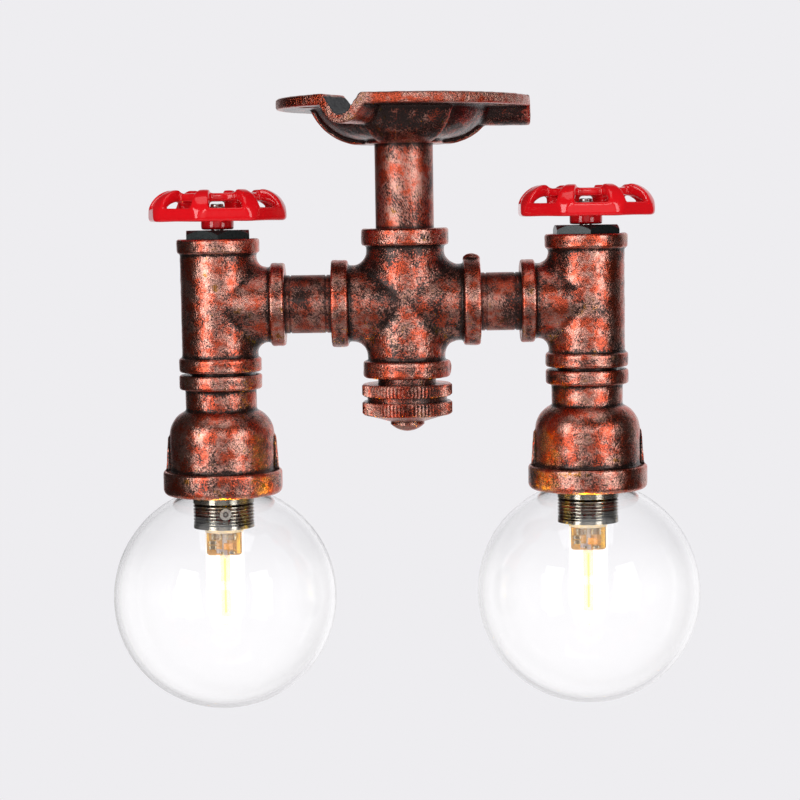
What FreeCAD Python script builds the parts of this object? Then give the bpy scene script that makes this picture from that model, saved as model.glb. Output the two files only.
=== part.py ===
import FreeCAD, Part
import math
import os
import re

import Sketcher

# Semi-flush ceiling light made of 3/4 inch malleable pipe fittings.
# Millimetres. The origin is the centre of the flange's ceiling face, +Z is up,
# -Y is the front, and the two arms lie along X.

doc = FreeCAD.newDocument("CeilingLight")
sheet = doc.addObject("Spreadsheet::Sheet", "Sizes")

# Driving sizes: name, value, what it is
SIZES = [
    ("pipe_across", 26.9, "outside of the 3/4 inch pipe and of every threaded shank"),
    ("pipe_wall", 2.65, "wall of the pipe"),
    ("thread_gap", 0.05, "play between a shank and the socket that it is screwed into"),
    ("seat_gap", 0.3, "space between pieces that may turn, lift off or bottom out"),
    ("way_across", 22.0, "water way through the fittings"),
    ("mouth_bevel", 0.8, "bevel at the mouth of each socket"),
    ("cast_round", 1.1, "rounding of the cast bands"),
    ("casting_step", 0.5, "how much slimmer the tapped branch is than the run"),

    ("plate_across", 116.8, "ceiling flange"),
    ("plate_thick", 5.0, "flange plate"),
    ("rim_round", 1.2, "rounding of the flange's rim"),
    ("bowl_depth", 21.0, "ceiling to the flat bottom of the bowl"),
    ("bowl_arc", 26.2, "radius of the bowl's round side"),
    ("bowl_arc_out", 18.3, "centre of that arc from the axis"),
    ("bowl_arc_up", 4.8, "centre of that arc above the ceiling face"),
    ("panel_step", 2.3, "how far the three panels stand proud of the bowl"),
    ("bowl_wall", 3.0, "wall of the bowl between the panels"),
    ("panel_sweep", 60.0, "degrees that a panel covers"),
    ("trough_across", 20.4, "outside of each open trough"),
    ("trough_wall", 4.4, "wall of the troughs"),
    ("trough_axis_down", 3.0, "centre of the trough's round bottom"),
    ("trough_lean", 36.0, "degrees that the troughs' walls lean outwards"),
    ("trough_start", 24.0, "inner end of the troughs"),
    ("flange_turn", -118.5, "degrees from +X to the first trough"),
    ("neck_boss_across", 36.0, "boss in the bowl that takes the stem"),
    ("neck_boss_top", 8.5, "ceiling to the top of that boss"),
    ("screw_hole_across", 5.5, "ceiling screw hole"),
    ("screw_sink", 2.4, "countersink of the screw holes"),

    ("block_wide", 24.0, "terminal block across its poles"),
    ("block_deep", 10.0, "terminal block along its wires"),
    ("block_tall", 9.0, "terminal block"),
    ("block_top", 2.0, "ceiling to the top of the terminal block"),
    ("block_out", 19.0, "axis to the near face of the terminal block"),
    ("pole_pitch", 4.0, "pitch of the wires in the block and in the stem"),
    ("pole_depth", 5.0, "depth of the wire holes"),
    ("clamp_across", 2.4, "clamping screws of the block"),
    ("clamp_tall", 3.0, "length of those screws"),
    ("block_screw_across", 3.0, "screw that holds the block on its pad"),
    ("block_screw_head", 5.4, "head of that screw"),
    ("block_screw_root", 3.0, "length of that screw in the pad"),
    ("block_pad_deep", 7.0, "cast pad under the block, towards the back"),
    ("lead_across", 2.3, "insulated lead"),
    ("lead_bend", 8.0, "bend of the leads in the fittings"),
    ("lead_level", 2.2, "half of the spacing of two leads in an arm"),
    ("pad_root", 0.25, "how far the cast pads reach into the bowl's floor"),
    ("earth_x", 22.0, "earth screw, sideways"),
    ("earth_y", 14.6, "earth screw, towards the back"),
    ("earth_pad", 8.4, "cast pad under the earth screw"),
    ("earth_head_across", 6.6, "earth screw head"),
    ("earth_head_tall", 2.4, "height of that head"),
    ("earth_screw_across", 4.0, "earth screw"),
    ("earth_screw_root", 4.5, "length of the earth screw in its pad"),
    ("lug_thick", 0.8, "ring lug of the earth lead"),
    ("lug_across", 7.6, "outside of that lug"),

    ("cross_depth", 93.9, "ceiling to the centre of the cross"),
    ("cross_half", 34.4, "centre of the cross to each end"),
    ("cross_band", 7.8, "height of the cross's end bands"),
    ("cross_band_across", 40.2, "cross's end bands"),
    ("cross_run_across", 35.8, "cross's body"),
    ("socket_depth", 13.5, "depth of each threaded socket"),

    ("tee_half", 30.7, "centre of a tee to each end"),
    ("tee_band", 6.6, "height of the tee's end bands"),
    ("tee_band_across", 38.2, "tee's end bands"),
    ("tee_run_across", 35.2, "tee's body"),
    ("fillet_share", 0.75, "share of the space beside a band that the fillet takes"),
    ("reach_left", 86.4, "stem to the axis of the left lamp"),
    ("reach_right", 83.6, "stem to the axis of the right lamp"),
    ("groove_away", 2.0, "band to the groove where the thread of an arm ends"),
    ("groove_wide", 0.9, "width of that groove"),
    ("groove_deep", 0.4, "depth of that groove"),

    ("knurl_across", 41.8, "knurled rings under the cross"),
    ("knurl_count", 76, "grooves around a knurled ring"),
    ("knurl_deep", 0.7, "depth of a knurl groove"),
    ("knurl_bevel", 0.8, "bevel at the edges of a knurled ring"),
    ("lock_ring_down", 3.0, "end of the cross to the first knurled ring"),
    ("lock_ring_tall", 5.7, "first knurled ring"),
    ("plug_neck_tall", 2.4, "groove between the two rings"),
    ("plug_neck_across", 37.0, "that groove's bottom"),
    ("plug_ring_tall", 6.2, "second knurled ring"),
    ("plug_cone_across", 38.6, "wide end of the plug's shallow cone"),
    ("plug_cone_tall", 3.4, "height of that cone"),
    ("nub_across", 15.7, "nub at the bottom of the plug"),
    ("nub_tall", 4.5, "height of the nub"),
    ("nub_side", 1.2, "straight side of the nub"),

    ("hex_flats", 28.8, "hexagon of the gland bushing"),
    ("hex_tall", 4.0, "height of that hexagon above the tee"),
    ("hex_bevel", 2.2, "bevel of that hexagon"),
    ("hex_turn_left", 35.0, "how far the left hexagon is turned, degrees"),
    ("hex_turn_right", 32.0, "how far the right hexagon is turned, degrees"),
    ("gland_web", 9.0, "solid top of the gland bushing"),
    ("spindle_across", 6.0, "spindle of the handwheel"),
    ("spindle_play", 0.08, "radial play of the spindle in its bore"),

    ("wheel_across", 65.2, "handwheel over its ribs"),
    ("wheel_flats", 61.4, "handwheel over its flats"),
    ("wheel_wall", 4.2, "wall of the handwheel's skirt"),
    ("wheel_skirt", 6.2, "height of the skirt"),
    ("wheel_up", 8.1, "top of the tee to the bottom of the handwheel"),
    ("wheel_top", 12.8, "height of the flat top of the handwheel"),
    ("wheel_disc_thick", 3.7, "thickness of that flat top"),
    ("wheel_disc_across", 41.0, "that flat top"),
    ("wheel_hole_across", 17.0, "opening in the flat top, over the nut"),
    ("nut_room_across", 19.0, "space for the nut between the webs"),
    ("hub_root", 2.0, "how far the webs reach into the hub"),
    ("rib_top", 14.5, "height of the ribs"),
    ("rib_foot", 3.0, "height at which the curve of the ribs starts"),
    ("rib_top_across", 44.8, "circle where the ribs are highest"),
    ("rib_end_across", 38.4, "circle on the flat top where the ribs end"),
    ("rib_arc", 12.4, "radius of the ribs' outer curve"),
    ("rib_under_arc", 11.5, "radius of the ribs' under side"),
    ("rib_wide_foot", 8.8, "width of a rib at the skirt"),
    ("rib_wide_top", 5.3, "width of a rib at its top"),
    ("rib_count", 8, "ribs of a handwheel"),
    ("wheel_turn_left", 12.5, "how far the left handwheel is turned, degrees"),
    ("wheel_turn_right", 0.0, "how far the right handwheel is turned, degrees"),
    ("hub_across", 15.2, "hub of the handwheel"),
    ("hub_top", 2.8, "height of the hub above the bottom of the skirt"),
    ("web_thick", 4.0, "webs between hub and top"),
    ("web_inset", 1.0, "edge of the flat top to the outer end of the webs"),
    ("web_foot", 0.6, "lower edge of the webs"),
    ("wheel_bevel", 1.0, "bevel of the skirt's lower edge"),
    ("wheel_nut_flats", 8.0, "nut on the spindle"),
    ("wheel_nut_tall", 4.0, "height of that nut"),
    ("spindle_over", 1.2, "spindle above its nut"),
    ("keeper_flats", 10.0, "nut that keeps the spindle in the gland"),
    ("keeper_tall", 5.0, "height of that nut"),
    ("washer_across", 12.5, "washer over that nut"),
    ("washer_thick", 1.2, "thickness of that washer"),

    ("joint_gap", 1.1, "end of the tee to the top of the bell"),
    ("bell_band", 6.9, "top band of the bell"),
    ("bell_band_across", 38.4, "that band"),
    ("bell_neck", 9.8, "neck of the bell"),
    ("bell_neck_across", 33.0, "that neck"),
    ("bell_shoulder", 11.5, "height of the bell's round shoulder"),
    ("bell_shoulder_arc", 12.4, "radius of that shoulder"),
    ("bell_ceiling_bevel", 4.0, "bevel between the mouth and its ceiling"),
    ("bell_way_across", 24.0, "way between the thread and the mouth of the bell"),
    ("bell_dome", 27.9, "height of the dome with its shoulder"),
    ("bell_dome_across", 48.6, "the dome"),
    ("bell_skirt", 11.2, "lower band of the bell"),
    ("bell_skirt_across", 55.3, "that band"),
    ("bell_rim_round", 2.6, "rounding of the rim"),
    ("bell_mouth_across", 41.0, "mouth of the bell"),
    ("bell_ceiling", 20.2, "top of the bell to the ceiling of its mouth"),
    ("bell_bore_depth", 17.4, "thread in the top of the bell"),
    ("grip_wide", 3.0, "width of the two grip ribs of the bell"),
    ("grip_out", 26.4, "axis to the outside of a grip rib, at its foot"),
    ("grip_out_top", 25.2, "the same near its top"),
    ("grip_down", 9.5, "shoulder to the top of the grip ribs"),
    ("grip_root", 1.0, "how far the grip ribs reach into the dome and the band"),

    ("bushing_tall", 6.5, "threaded bushing that carries the lampholder"),
    ("tube_across", 10.0, "threaded tube of the lampholder"),
    ("tube_bore", 8.0, "bore of that tube"),
    ("tube_length", 28.0, "length of that tube"),
    ("tube_nut_flats", 14.0, "nuts on that tube"),
    ("tube_nut_tall", 3.0, "height of those nuts"),

    ("shell_across", 28.2, "threaded shell of the lampholder"),
    ("shell_wall", 1.6, "wall of the shell at its thread"),
    ("shell_drop", 15.8, "rim of the bell to the end of the shell"),
    ("shell_length", 39.2, "length of the shell"),
    ("shell_cap", 1.5, "top of the shell"),
    ("shell_thread_deep", 0.75, "depth of its thread"),
    ("shell_thread_pitch", 1.5, "pitch of its thread"),
    ("shell_thread_turns", 6, "turns of the thread"),
    ("shell_lip", 1.6, "plain lip at the end of the shell"),
    ("ceramic_gap", 0.25, "play of the ceramic body in the shell"),
    ("ceramic_length", 26.0, "ceramic body of the lampholder"),
    ("ceramic_set_back", 1.5, "end of the shell to the face of the ceramic"),
    ("grub_across", 5.2, "screw in the shell that bears on the ceramic"),
    ("grub_socket_across", 2.6, "socket of that screw"),
    ("grub_socket_deep", 0.8, "depth of that socket"),
    ("grub_down", 8.6, "rim of the bell to that screw"),
    ("shell_turn_left", 8.0, "how far the left screw is turned from the front, degrees"),
    ("shell_turn_right", 150.0, "how far the right screw is turned from the front, degrees"),

    ("pin_pitch", 9.0, "two pins of the lamp"),
    ("pin_wire", 0.8, "wire of a pin"),
    ("pin_wide", 2.6, "width of a pin's loop"),
    ("pin_length", 12.5, "pins above the lamp's base"),
    ("slot_play", 0.35, "space around a pin in its slot"),
    ("leaf_thick", 0.35, "spring leaves of the contacts"),
    ("leaf_wide", 2.4, "width of those leaves"),
    ("tail_across", 1.6, "tail of a contact"),
    ("tail_over", 1.5, "tail above the ceramic"),
    ("lamp_up", 1.2, "end of the shell up to the base of the lamp"),
    ("lamp_across", 17.9, "clear cover of the lamp"),
    ("lamp_length", 47.4, "length of the lamp without its pins"),
    ("lamp_wall", 0.9, "wall of the cover"),
    ("lamp_base_tall", 3.5, "base plug of the lamp"),
    ("board_wide", 12.4, "driver board of the lamp"),
    ("board_tall", 11.2, "height of the driver board"),
    ("board_thick", 1.2, "thickness of the driver board"),
    ("strip_wide", 3.2, "light strip"),
    ("strip_length", 27.5, "length of the light strip"),
    ("strip_thick", 1.0, "thickness of the light strip"),

    ("globe_across", 104.0, "glass globe"),
    ("globe_wall", 2.0, "wall of the globe"),
    ("globe_rise", 3.4, "top of the sphere above the rim of the bell"),
    ("globe_neck_across", 34.6, "neck of the globe"),
    ("globe_neck_top", 14.6, "rim of the bell to the top of the neck"),
    ("globe_neck_gap", 0.35, "play of the neck over the shell"),
]

for row, (alias, number, meaning) in enumerate(SIZES, start=1):
    sheet.set(f"A{row}", meaning)
    sheet.set(f"B{row}", str(number))
    sheet.setAlias(f"B{row}", alias)
doc.recompute()

# Heights and lengths that follow from the driving sizes, measured from the ceiling
PLACES = {
    "stem_top": "-(neck_boss_top + seat_gap)",
    "stem_bottom": "-(cross_depth - cross_half + socket_depth - seat_gap)",
    "cross_end": "-(cross_depth + cross_half)",
    "tee_top": "-(cross_depth - tee_half)",
    "tee_end": "-(cross_depth + tee_half)",
    "bell_top": "(tee_end - joint_gap)",
    "bell_length": "(bell_band + bell_neck + bell_dome + bell_skirt)",
    "bell_rim": "(bell_top - bell_length)",
    "socket_across": "(pipe_across + 2 * thread_gap)",
    "gland_top": "(tee_top + hex_tall)",
    "wheel_bottom": "(tee_top + wheel_up)",
    "nut_bottom": "(wheel_bottom + hub_top)",
    "bushing_bottom": "(bell_top - bell_bore_depth + seat_gap)",
    "bushing_top": "(bushing_bottom + bushing_tall)",
    "shell_end": "(bell_rim - shell_drop)",
    "shell_top": "(shell_end + shell_length)",
    "shell_bore": "(shell_across - 2 * shell_wall)",
    "tube_end": "(bushing_top + seat_gap - tube_length)",
    "ceramic_end": "(shell_end + ceramic_set_back)",
    "ceramic_top": "(ceramic_end + ceramic_length)",
    "ceramic_across": "(shell_bore - 2 * ceramic_gap)",
    "tail_top": "(ceramic_top + tail_over)",
    "slot_wide": "(pin_wide + 2 * slot_play)",
    "slot_deep": "(pin_wire + 4 * leaf_thick + slot_play)",
    "slot_top": "(lamp_top + pin_length + seat_gap)",
    "lamp_top": "(shell_end + lamp_up)",
    "globe_centre": "(bell_rim + globe_rise - globe_across / 2)",
    "globe_neck_bore": "(shell_across + 2 * globe_neck_gap)",
    "block_bottom": "-(block_top + block_tall)",
    "block_middle": "(block_out + block_deep / 2)",
    "block_screw_y": "(block_out + block_deep * 0.75)",
    "clamp_y": "(block_out + pole_depth * 0.6)",
    "wire_level": "-(block_top + block_tall / 2)",
    "earth_pad_top": "(wire_level - lead_across / 2 - lug_thick)",
    "low_arc": "(bowl_arc - panel_step)",
    "cross_fillet": "(fillet_share * (cross_half - cross_band - cross_run_across / 2))",
    "tee_fillet": "(fillet_share * (tee_half - tee_band - tee_run_across / 2))",
}

ALIASES = {alias for alias, number, meaning in SIZES}
SIDES = {"left": "-reach_left", "right": "reach_right"}
UP = FreeCAD.Vector(0, 0, 1)

# How far a trimming outline reaches past the piece, as a share of its size
BEYOND = 1.2

# Poles of the terminal block from left to right, and the parts on the lamp's driver board:
# across, above its lower edge, width, height, thickness, front (-1) or back (1)
POLES = [f"(pole_pitch * {place})" for place in (-2.5, -1.5, -0.5, 0.5, 1.5, 2.5)]
BOARD_PARTS = [
    (-3.2, 3.0, 4.2, 5.0, 2.2, -1),
    (2.8, 2.0, 3.6, 3.2, 1.6, -1),
    (2.0, 6.2, 5.2, 3.6, 1.8, -1),
    (-2.0, 4.0, 6.4, 6.0, 1.8, 1),
]


def full(text):
    """Writes out the places in an expression and the sheet's name before each size."""
    def word(match):
        name = match.group(0)
        if name in PLACES:
            return full(PLACES[name])
        return "Sizes." + name if name in ALIASES else name
    return re.sub(r"[a-z_]+", word, text)


def value(text):
    return float(sheet.evalExpression(full(text)))


def bind(thing, prop, text):
    thing.setExpression(prop, full(text))


def place(thing, x="0", y="0", z="0", turn="0"):
    """Puts a piece at its place, turned about the vertical by so many degrees."""
    thing.Placement = FreeCAD.Placement(FreeCAD.Vector(), FreeCAD.Rotation(UP, 30))
    for prop, text in (("x", x), ("y", y), ("z", z)):
        bind(thing, "Placement.Base." + prop, text)
    bind(thing, "Placement.Rotation.Angle", turn)
    return thing


# Sketches, with each point bound to the sheet

def new_sketch(body, plane, raised="0", turn="0"):
    sketch = body.newObject("Sketcher::SketchObject", "Sketch")
    role = [item for item in body.Origin.OriginFeatures if item.Role == plane][0]
    sketch.AttachmentSupport = [(role, "")]
    sketch.MapMode = "FlatFace"
    sketch.AttachmentOffset = FreeCAD.Placement(FreeCAD.Vector(), FreeCAD.Rotation(UP, 30))
    bind(sketch, "AttachmentOffset.Base.z", raised)
    bind(sketch, "AttachmentOffset.Rotation.Angle", turn)
    return sketch


def arc_between(first, last, radius, side):
    """The shorter arc from first to last, its centre left (1) or right (-1) of the way."""
    chord = last - first
    rise = math.sqrt(max(radius ** 2 - chord.Length ** 2 / 4, 0))
    left = FreeCAD.Vector(-chord.y, chord.x, 0).normalize()
    centre = (first + last) / 2 + left * rise * side
    start, end = (first, last) if side > 0 else (last, first)
    angles = [math.atan2(point.y - centre.y, point.x - centre.x) for point in (start, end)]
    if angles[1] < angles[0]:
        angles[1] += 2 * math.pi
    circle = Part.Circle(centre, UP, radius)
    return Part.ArcOfCircle(circle, *angles)


def draw(sketch, points):
    """A closed outline. A point is (across, up), or has a radius and a side: an arc leaves it."""
    spots = [FreeCAD.Vector(value(point[0]), value(point[1]), 0) for point in points]
    ends = []
    for index, point in enumerate(points):
        following = spots[(index + 1) % len(points)]
        if len(point) == 2:
            edge = sketch.addGeometry(Part.LineSegment(spots[index], following))
            ends.append((edge, 1, 2))
            continue
        radius, side = value(point[2]), point[3]
        edge = sketch.addGeometry(arc_between(spots[index], following, radius, side))
        ends.append((edge, 1, 2) if side > 0 else (edge, 2, 1))
        rule = sketch.addConstraint(Sketcher.Constraint("Radius", edge, radius))
        bind(sketch, f"Constraints[{rule}]", point[2])
    for index, (edge, start, end) in enumerate(ends):
        before = ends[index - 1]
        sketch.addConstraint(Sketcher.Constraint("Coincident", before[0], before[2], edge, start))
        for kind, number, text in (("DistanceX", spots[index].x, points[index][0]),
                                   ("DistanceY", spots[index].y, points[index][1])):
            rule = sketch.addConstraint(Sketcher.Constraint(kind, -1, 1, edge, start, number))
            bind(sketch, f"Constraints[{rule}]", text)


def draw_circle(sketch, across, x="0", y="0"):
    centre = FreeCAD.Vector(value(x), value(y), 0)
    edge = sketch.addGeometry(Part.Circle(centre, UP, value(across) / 2))
    rules = [("Radius", (edge, value(across) / 2), f"({across}) / 2"),
             ("DistanceX", (-1, 1, edge, 3, centre.x), x),
             ("DistanceY", (-1, 1, edge, 3, centre.y), y)]
    for kind, numbers, text in rules:
        rule = sketch.addConstraint(Sketcher.Constraint(kind, *numbers))
        bind(sketch, f"Constraints[{rule}]", text)


def rectangle(left, right, low, high):
    return [(left, low), (right, low), (right, high), (left, high)]


def corners(x, y, wide, deep):
    """A rectangle about the point x, y."""
    return rectangle(f"{x} - ({wide}) / 2", f"{x} + ({wide}) / 2",
                     f"{y} - ({deep}) / 2", f"{y} + ({deep}) / 2")


# Features on a body

def new_body(label, **where):
    body = doc.addObject("PartDesign::Body", label)
    body.Label = label
    return place(body, **where)


def revolve(body, kind, points, axis="V_Axis", angle=None, plane="XZ_Plane"):
    sketch = new_sketch(body, plane)
    draw(sketch, points)
    item = body.newObject("PartDesign::" + kind, kind)
    item.Profile = sketch
    item.ReferenceAxis = (sketch, [axis])
    if angle is None:
        item.Angle = 360
    else:
        bind(item, "Angle", angle)
    doc.recompute()
    return item


def extrude(body, kind, sketch, length, way="One side", reverse=False):
    item = body.newObject("PartDesign::" + kind, kind)
    item.Profile = sketch
    item.SideType = way
    item.Reversed = reverse
    bind(item, "Length", length)
    doc.recompute()
    return item


def repeat(body, features, count):
    pattern = body.newObject("PartDesign::PolarPattern", "Pattern")
    pattern.Originals = features
    up = [item for item in body.Origin.OriginFeatures if item.Role == "Z_Axis"][0]
    pattern.Axis = (up, [""])
    pattern.Angle = 360
    bind(pattern, "Occurrences", count)
    body.Tip = pattern
    doc.recompute()
    return pattern


def soften(body, kind, size, wanted):
    """Rounds or bevels the edges of the body's tip that wanted picks."""
    base = body.Tip
    names = [f"Edge{number}" for number, edge in enumerate(base.Shape.Edges, start=1) if wanted(edge)]
    if not names:
        raise RuntimeError("no edge to soften on " + body.Label)
    item = body.newObject("PartDesign::" + kind, kind)
    item.Base = (base, names)
    bind(item, "Radius" if kind == "Fillet" else "Size", size)
    doc.recompute()
    return item


def is_circle(edge, across):
    return isinstance(edge.Curve, Part.Circle) and abs(edge.Curve.Radius - across / 2) < 0.01


def turned(label, points, **where):
    """A piece turned about its own vertical axis."""
    body = new_body(label, **where)
    revolve(body, "Revolution", points)
    return body


def tube_outline(bore, across, low, high, bevel="mouth_bevel"):
    """Half section of a tube, with its outer ends bevelled."""
    return [(f"{bore} / 2", low), (f"{across} / 2 - {bevel}", low), (f"{across} / 2", f"{low} + {bevel}"),
            (f"{across} / 2", f"{high} - {bevel}"), (f"{across} / 2 - {bevel}", high), (f"{bore} / 2", high)]


# Pieces made of primitives

def primitive(kind, where, **sizes):
    item = doc.addObject("Part::" + kind, kind)
    for prop, text in sizes.items():
        bind(item, prop, text)
    return place(item, **where)


def lay_down(item, axis):
    """Turns a primitive by 90 degrees about a level axis."""
    item.setExpression("Placement.Rotation.Angle", None)
    item.Placement = FreeCAD.Placement(item.Placement.Base, FreeCAD.Rotation(axis, 90))
    return item


def cylinder(across, low, high, x="0", y="0"):
    return primitive("Cylinder", {"x": x, "y": y, "z": low}, Radius=f"({across}) / 2",
                     Height=f"({high}) - ({low})")


def block(x, y, wide, deep, low, high):
    """A box about the point x, y, from low to high."""
    return primitive("Box", {"x": f"({x}) - ({wide}) / 2", "y": f"({y}) - ({deep}) / 2", "z": low},
                     Length=wide, Width=deep, Height=f"({high}) - ({low})")


def hexagon(flats, low, high, x="0", turn="0"):
    item = primitive("Prism", {"x": x, "z": low, "turn": turn}, Circumradius=f"({flats}) / sqrt(3)",
                     Height=f"({high}) - ({low})")
    item.Polygon = 6
    return item


def together(items):
    joined = doc.addObject("Part::MultiFuse", "Fuse")
    joined.Shapes = items
    return joined


def cut(base, items):
    result = doc.addObject("Part::Cut", "Cut")
    result.Base = base
    result.Tool = items[0] if len(items) == 1 else together(items)
    return result


def name_piece(item, label):
    item.Label = label
    doc.recompute()
    return item


def name_group(label, items):
    """Several loose solids that share one node."""
    group = doc.addObject("Part::Compound", label)
    group.Links = items
    return name_piece(group, label)


def bare(label, shape, **where):
    """A piece whose shape comes straight from Part's functions."""
    item = doc.addObject("Part::Feature", label)
    item.Label = label
    item.Shape = shape
    return place(item, **where)


# Leads

def lead_path(points, bend):
    """Straight runs joined by tangent arcs."""
    edges = []
    start = points[0]
    for before, corner, after in zip(points, points[1:], points[2:]):
        way_in = (corner - before).normalize()
        way_out = (after - corner).normalize()
        half = way_in.getAngle(way_out) / 2
        shorter = min((corner - before).Length, (after - corner).Length)
        reach = min(bend * math.tan(half), 0.45 * shorter)
        radius = reach / math.tan(half)
        first = corner - way_in * reach
        last = corner + way_out * reach
        inward = (way_out - way_in).normalize()
        middle = corner + inward * (radius / math.cos(half) - radius)
        edges.append(Part.LineSegment(start, first).toShape())
        edges.append(Part.Arc(first, middle, last).toShape())
        start = last
    edges.append(Part.LineSegment(start, points[-1]).toShape())
    return Part.Wire(edges)


def lead(label, texts):
    points = [FreeCAD.Vector(value(x), value(y), value(z)) for x, y, z in texts]
    path = lead_path(points, value("lead_bend"))
    radius = value("lead_across") / 2
    section = Part.Wire(Part.Circle(points[0], points[1] - points[0], radius).toShape())
    solid = path.makePipeShell([section], True, False)
    print(label, "volume over section times length:",
          round(solid.Volume / (math.pi * radius ** 2 * path.Length), 4))
    return bare(label, solid)


# Ceiling flange

def bowl_radius(arc, up):
    """Distance from the axis to an arc about the bowl's centre, at a height."""
    return f"bowl_arc_out + sqrt(({arc})^2 - (bowl_arc_up - ({up}))^2)"


def ceiling_flange():
    body = new_body("ceiling_flange", turn="flange_turn")
    inner_arc = "(bowl_arc - panel_step - bowl_wall)"
    dish = "(bowl_arc_up - bowl_arc + panel_step)"
    revolve(body, "Revolution", [
        ("0", "0"), ("0", "-bowl_depth"), ("neck_boss_across / 2", "-bowl_depth"),
        ("neck_boss_across / 2", dish), ("bowl_arc_out", dish, "low_arc", 1),
        (bowl_radius("low_arc", "-plate_thick"), "-plate_thick"),
        ("plate_across / 2 - rim_round", "-plate_thick", "rim_round", 1),
        ("plate_across / 2", "rim_round - plate_thick"), ("plate_across / 2", "-rim_round", "rim_round", 1),
        ("plate_across / 2 - rim_round", "0")])

    # Three raised panels of the casting
    foot = "neck_boss_across / 2 - panel_step"
    panel = revolve(body, "Revolution", [
        (foot, "-plate_thick / 2"), (foot, "-bowl_depth"),
        (bowl_radius("bowl_arc", "-bowl_depth"), "-bowl_depth", "bowl_arc", 1),
        (bowl_radius("bowl_arc", "-plate_thick"), "-plate_thick"),
        (bowl_radius("bowl_arc", "-plate_thick"), "-plate_thick / 2")], angle="panel_sweep")
    repeat(body, [panel], "3")

    # Three open troughs that run out through the rim
    def trough(half):
        foot, level = f"({half}) * cos(trough_lean)", f"(trough_axis_down + ({half}) * sin(trough_lean))"
        edge = f"({foot} + {level} * tan(trough_lean))"
        return [(f"-{edge}", "0"), (f"-({foot})", f"-{level}", half, 1),
                ("0", f"-trough_axis_down - ({half})", half, 1), (foot, f"-{level}"), (edge, "0")]

    outside = new_sketch(body, "YZ_Plane", raised="trough_start")
    draw(outside, trough("trough_across / 2"))
    shell = extrude(body, "Pad", outside, "plate_across / 2 - trough_start")
    repeat(body, [shell], "3")
    trim = new_sketch(body, "XY_Plane")
    draw_circle(trim, "plate_across")
    draw_circle(trim, f"plate_across * {BEYOND}")
    extrude(body, "Pocket", trim, "4 * bowl_depth", way="Symmetric")

    # The bowl is hollow above, round the boss that takes the stem
    side = "neck_boss_across / 2"
    revolve(body, "Groove", [
        ("0", "0"), ("0", "-neck_boss_top"), (side, "-neck_boss_top"),
        (side, f"bowl_arc_up - sqrt({inner_arc}^2 - ({side} - bowl_arc_out)^2)", inner_arc, 1),
        (bowl_radius(inner_arc, "0"), "0")])
    inside = new_sketch(body, "YZ_Plane", raised="trough_start - trough_wall")
    draw(inside, trough("trough_across / 2 - trough_wall"))
    slot = extrude(body, "Pocket", inside, "plate_across / 2", reverse=True)
    repeat(body, [slot], "3")

    # Cast pads that carry the terminal block and the earth screw
    floor = f"(bowl_arc_up - {inner_arc} - pad_root)"
    for top, pad in (("block_bottom", corners("0", "block_middle", "block_wide / 2", "block_pad_deep")),
                     ("earth_pad_top", corners("earth_x", "earth_y", "earth_pad", "earth_pad"))):
        sketch = new_sketch(body, "XY_Plane", raised=floor, turn="-flange_turn")
        draw(sketch, pad)
        extrude(body, "Pad", sketch, f"{top} - {floor}")

    # Bore for the stem, and the countersunk screw holes
    bore = new_sketch(body, "XY_Plane")
    draw_circle(bore, "socket_across")
    extrude(body, "Pocket", bore, "4 * bowl_depth", way="Symmetric")
    for x, y, top, across, root in (
            ("0", "block_screw_y", "block_bottom", "block_screw_across", "block_screw_root"),
            ("earth_x", "earth_y", "earth_pad_top", "earth_screw_across", "earth_screw_root")):
        tapped = new_sketch(body, "XY_Plane", raised=top, turn="-flange_turn")
        draw_circle(tapped, f"{across} + 2 * thread_gap", x, y)
        extrude(body, "Pocket", tapped, f"{root} + seat_gap")
    hole = new_sketch(body, "XY_Plane")
    rim_start = bowl_radius("low_arc", "-plate_thick")
    draw_circle(hole, "screw_hole_across", y=f"({rim_start} + plate_across / 2) / 2")
    drilled = extrude(body, "Pocket", hole, "4 * plate_thick", way="Symmetric")
    repeat(body, [drilled], "3")
    across = value("screw_hole_across")
    level = value("-plate_thick")
    soften(body, "Chamfer", "screw_sink",
           lambda edge: is_circle(edge, across) and abs(edge.Curve.Center.z - level) < 0.01)
    return body


# Knurled rings

def knurled(across, low, high):
    """A ring with V grooves all round and bevelled edges."""
    count = int(value("knurl_count"))
    outer = value(across) / 2
    inner = outer - value("knurl_deep")
    tips = []
    for step in range(2 * count):
        radius = outer if step % 2 else inner
        angle = math.pi * step / count
        tips.append(FreeCAD.Vector(radius * math.cos(angle), radius * math.sin(angle), low))
    teeth = Part.Face(Part.makePolygon(tips + tips[:1])).extrude(FreeCAD.Vector(0, 0, high - low))
    bevel = value("knurl_bevel")
    rim = [FreeCAD.Vector(radius, 0, up) for radius, up in (
        (0, low), (outer - bevel, low), (outer, low + bevel), (outer, high - bevel),
        (outer - bevel, high), (0, high), (0, low))]
    turned_rim = Part.Face(Part.makePolygon(rim)).revolve(FreeCAD.Vector(), UP, 360)
    return teeth.common(turned_rim)


# Wiring in the flange

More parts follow.
